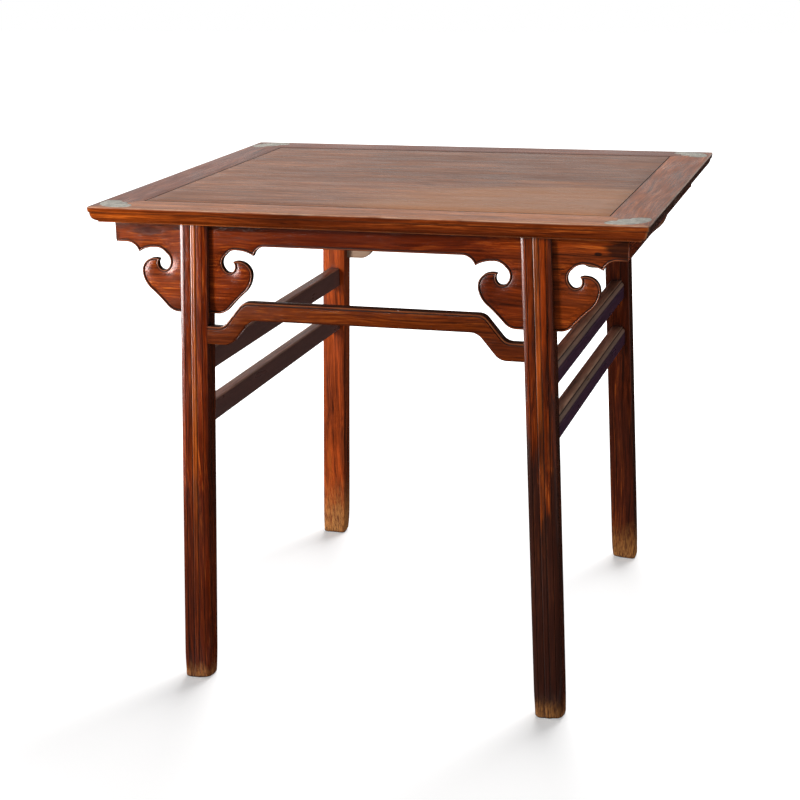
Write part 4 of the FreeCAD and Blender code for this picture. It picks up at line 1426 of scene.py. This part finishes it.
@once
def board_wood(which):
    """Panel boards: long light and dark figure under a soft rubbed sheen."""
    tones = bpy.context.scene.table_finish
    wood = Finish("Board Wood " + which.title(), "X", (0.9 if which == "front" else 3.7, 0.45, 0.2),
                  tones.top_body, tones.top_streak, streaks=0.4, veins=0.35, figure=0.5,
                  shine=0.08, gloss=1.3, rubbed=0.3, deep=TOP_DEEP)
    wood.stain(wood.spot((0.30, -0.25, TOP_Z), (0.42, 0.26, 1.0), 0.25, 8.0), 0.55, (0.500, 0.210, 0.080))
    wood.panel_line()
    return wood.finished()


@once
def hidden_wood():
    """Battens: plain unpolished wood under the panel."""
    return Finish("Batten Wood", "Y", (1.1, 0.3, 0.6), (0.20, 0.075, 0.030), (0.30, 0.14, 0.06),
                  gloss=1.9, shine=0.1, rubbed=0.3).finished()


@once
def weathered_metal():
    """Corner plates: dull grey metal with pits, scratches and a dark rim."""
    material, bench = new_material("Weathered Metal")
    place = bench.add("ShaderNodeTexCoord").outputs["Object"]
    cloud = bench.mottle(place, (90, 90, 90), 4.0, 0.6)
    pit = bench.span(bench.mottle(place, (420, 420, 420), 3.0, 0.6), 0.42, 0.33)
    scratch = bench.span(bench.mottle(place, (60, 1300, 400), 2.0, 0.5), 0.60, 0.72)
    wear = bench.add("ShaderNodeGroup", {"Vector": place, "Arris": 1.2 * MM, "Corner": 4 * MM},
                     node_tree=wear_group()).outputs
    tone = bench.blend(bench.span(cloud, 0.36, 0.64), (0.290, 0.272, 0.232),
                       bpy.context.scene.table_finish.metal)
    for share, amount, over in (
            (pit, 0.75, (0.050, 0.044, 0.034)), (scratch, 0.35, (0.50, 0.50, 0.44)),
            (wear["Dirt And Corner Shade"], 0.8, (0.05, 0.04, 0.03)), (wear["Rubbed"], 0.6, (0.66, 0.64, 0.57))):
        tone = bench.blend(bench.times(share, amount), tone, over)
    bump = bench.add("ShaderNodeBump", {"Height": bench.minus(cloud, pit), "Strength": 0.45,
                                        "Distance": 0.3 * MM})
    bench.surface(bench.add("ShaderNodeBsdfPrincipled", {
        "Base Color": tone, "Roughness": bench.span(cloud, 0.3, 0.7, 0.42, 0.62), "Metallic": 0.45,
        "Normal": bump.outputs[0]}))
    return material


# ----------------------------------------------------------------------- studio
WHITE = (1.0, 1.0, 1.0)


def seen_straight(bench):
    """1 where the camera looks straight on or by a reflection, otherwise 0."""
    path = bench.add("ShaderNodeLightPath")
    seen = bench.sum("MAXIMUM", path.outputs["Is Camera Ray"], path.outputs["Is Glossy Ray"])
    return bench.sum("MAXIMUM", seen, path.outputs["Is Transmission Ray"])


def pale_floor(settings):
    """A floor that shows as white and keeps the table's shadow."""
    material, bench = new_material("Pale Floor")
    seen = seen_straight(bench)
    lit = bench.add("ShaderNodeBsdfDiffuse", {"Color": settings.floor})
    away = bench.far(bench.add("ShaderNodeTexCoord").outputs["Object"])
    strength = bench.times(seen, bench.span(away, 0.85, 1.6, 0.39, 0.95))
    glow = bench.add("ShaderNodeEmission", {"Color": WHITE, "Strength": strength})
    bench.surface(bench.add("ShaderNodeAddShader", {0: lit.outputs[0], 1: glow.outputs[0]}))
    return material


def surround(settings):
    """A white room that lights the table less than it shows."""
    world = bpy.data.worlds.new("Studio")
    world.use_nodes = True
    world.node_tree.nodes.clear()
    bench = Bench(world.node_tree)
    strength = bench.span(seen_straight(bench), 0.0, 1.0, settings.sky, 1.0)
    sky = bench.add("ShaderNodeBackground", {"Color": WHITE, "Strength": strength})
    bench.add("ShaderNodeOutputWorld", {"Surface": sky.outputs[0]})
    return world


def lamp(name, place, aim, size, power):
    """A soft rectangular light."""
    rest()
    bpy.ops.object.light_add(type="AREA", location=place)
    light = bpy.context.object
    light.name = name
    light.data.shape = "RECTANGLE"
    light.data.size, light.data.size_y = size
    light.data.energy = power
    light.rotation_euler = (Vector(aim) - Vector(place)).to_track_quat("-Z", "Y").to_euler()
    return light


def flag(name, place, size, upright=True, tone=0.01):
    """A card, upright or lying down, that only shows in reflections.  It is
    dark unless another tone is given."""
    rest()
    tilt = math.pi / 2 if upright else 0
    bpy.ops.mesh.primitive_plane_add(size=1, location=place, rotation=(tilt, 0, 0), calc_uvs=False)
    card = bpy.context.object
    card.name = name
    card.scale = (*size, 1)
    card.visible_camera = card.visible_diffuse = card.visible_shadow = card.visible_transmission = False
    material, bench = new_material("Studio Card")
    bench.surface(bench.add("ShaderNodeEmission", {"Color": WHITE, "Strength": tone}))
    card.data.materials.append(material)


def gathered(name, things):
    """A collection of some things, for a light to be linked to."""
    group = bpy.data.collections.new(name)
    for thing in things:
        group.objects.link(thing)
    return group


def add_lights(settings, floor):
    """The lights, each linked to what it lights."""
    pieces = [piece for piece in bpy.context.scene.objects if piece.type == "MESH" and piece != floor]
    table = gathered("lit_pieces", pieces)
    ground = gathered("lit_floor", [floor])
    posts = gathered("legs", [piece for piece in pieces if piece.name.endswith("_leg")])
    polished = gathered("lit_polish", [piece for piece in pieces
                                       if piece.name.endswith(("_leg", "_apron", "_humpback"))])
    key = lamp("key_light", (-2.2, -2.6, 1.9), (0, 0, 0.55), (0.8, 0.9), settings.key)
    key.light_linking.receiver_collection = table
    back = lamp("back_light", (-0.9, 2.5, 2.6), (0, 0, 0.8), (1.8, 1.6), settings.back)
    back.light_linking.receiver_collection = table
    low = lamp("floor_light", (0.3, 3.6, 6.2), (0, 0, 0), (4.0, 3.6), settings.ground)
    low.light_linking.receiver_collection = ground
    low.light_linking.blocker_collection = posts
    key.visible_glossy = back.visible_glossy = low.visible_glossy = False
    back.visible_camera = low.visible_camera = False
    sheen = lamp("sheen_light", (-2.3, -1.42, 1.22), (0.2, -1.22, 1.05), (2.2, 2.0), settings.sheen)
    sheen.light_linking.receiver_collection = polished
    sheen.visible_diffuse = False


def add_camera(settings):
    """The camera, by where it stands, its turn, its tilt down and its lean."""
    yaw, pitch, roll = (math.radians(a) for a in (-17.023, 16.229, -1.101))
    ahead = Vector((math.sin(yaw) * math.cos(pitch), math.cos(yaw) * math.cos(pitch), -math.sin(pitch)))
    level = Vector((math.cos(yaw), -math.sin(yaw), 0))
    over = level.cross(ahead)
    right = level * math.cos(roll) + over * math.sin(roll)
    up = over * math.cos(roll) - level * math.sin(roll)
    rest()
    bpy.ops.object.camera_add(location=(0.86806, -3.00926, 1.34566))
    camera = bpy.context.object
    camera.name = "camera"
    camera.rotation_euler = Matrix((right, up, -ahead)).transposed().to_euler()
    camera.data.lens = settings.lens
    camera.data.sensor_width = 36
    camera.data.sensor_fit = "HORIZONTAL"
    bpy.context.scene.camera = camera


class TABLE_OT_make_stage(Operator):
    """Set up the pale floor, the soft lights and the camera"""

    bl_idname = "table.make_stage"
    bl_label = "Make Stage"

    def execute(self, context):
        settings = context.scene.table_studio
        rest()
        bpy.ops.mesh.primitive_plane_add(size=30, calc_uvs=False)
        floor = context.object
        floor.name = "floor"
        floor.data.materials.append(pale_floor(settings))
        context.scene.world = surround(settings)
        add_lights(settings, floor)
        flag("front_flag", (-0.4, -1.8, 0.42), (2.2, 0.84))
        flag("front_mat", (-0.9, -1.55, 0.002), (4.4, 2.1), upright=False)
        flag("left_mat", (-1.9, 0.85, 0.002), (2.8, 2.7), upright=False)
        flag("back_flag", (1.0, 0.56, 0.42), (2.7, 0.84))
        flag("under_mat", (0.35, 0.20, 0.003), (1.9, 1.3), upright=False)
        flag("back_card", (-0.9, 2.9, 2.0), (4.4, 2.3), tone=0.62)
        add_camera(settings)
        context.scene.view_settings.view_transform = "Standard"
        return {"FINISHED"}


class VIEW3D_PT_hardwood_table(Panel):
    """Sizes and colours of the table, and the steps that make it"""

    bl_label = "Hardwood Table"
    bl_idname = "VIEW3D_PT_hardwood_table"
    bl_space_type = "VIEW_3D"
    bl_region_type = "UI"
    bl_category = "Table"

    def draw(self, context):
        layout = self.layout
        for operator in STEPS:
            layout.operator(operator.bl_idname)
        for label, group in SETTINGS:
            box = layout.box()
            box.label(text=label.replace("_", " ").title())
            settings = getattr(context.scene, label)
            for name in group.__annotations__:
                box.prop(settings, name)


SETTINGS = (
    ("table_legs", LegSettings),
    ("table_aprons", ApronSettings),
    ("table_stretchers", StretcherSettings),
    ("table_top", TopSettings),
    ("table_finish", FinishSettings),
    ("table_studio", StudioSettings),
)
STEPS = (
    TABLE_OT_make_legs,
    TABLE_OT_make_aprons,
    TABLE_OT_make_stretchers,
    TABLE_OT_make_top_frame,
    TABLE_OT_make_panel,
    TABLE_OT_make_stage,
)


def register():
    for label, group in SETTINGS:
        bpy.utils.register_class(group)
        setattr(bpy.types.Scene, label, PointerProperty(type=group))
    for operator in STEPS:
        bpy.utils.register_class(operator)
    bpy.utils.register_class(VIEW3D_PT_hardwood_table)


def unregister():
    bpy.utils.unregister_class(VIEW3D_PT_hardwood_table)
    for operator in reversed(STEPS):
        bpy.utils.unregister_class(operator)
    for label, group in reversed(SETTINGS):
        delattr(bpy.types.Scene, label)
        bpy.utils.unregister_class(group)


def main():
    register()
    bpy.ops.table.make_legs()
    bpy.ops.table.make_aprons()
    bpy.ops.table.make_stretchers()
    bpy.ops.table.make_top_frame()
    bpy.ops.table.make_panel()
    bpy.ops.table.make_stage()
    rest()


if __name__ == "__main__":
    main()
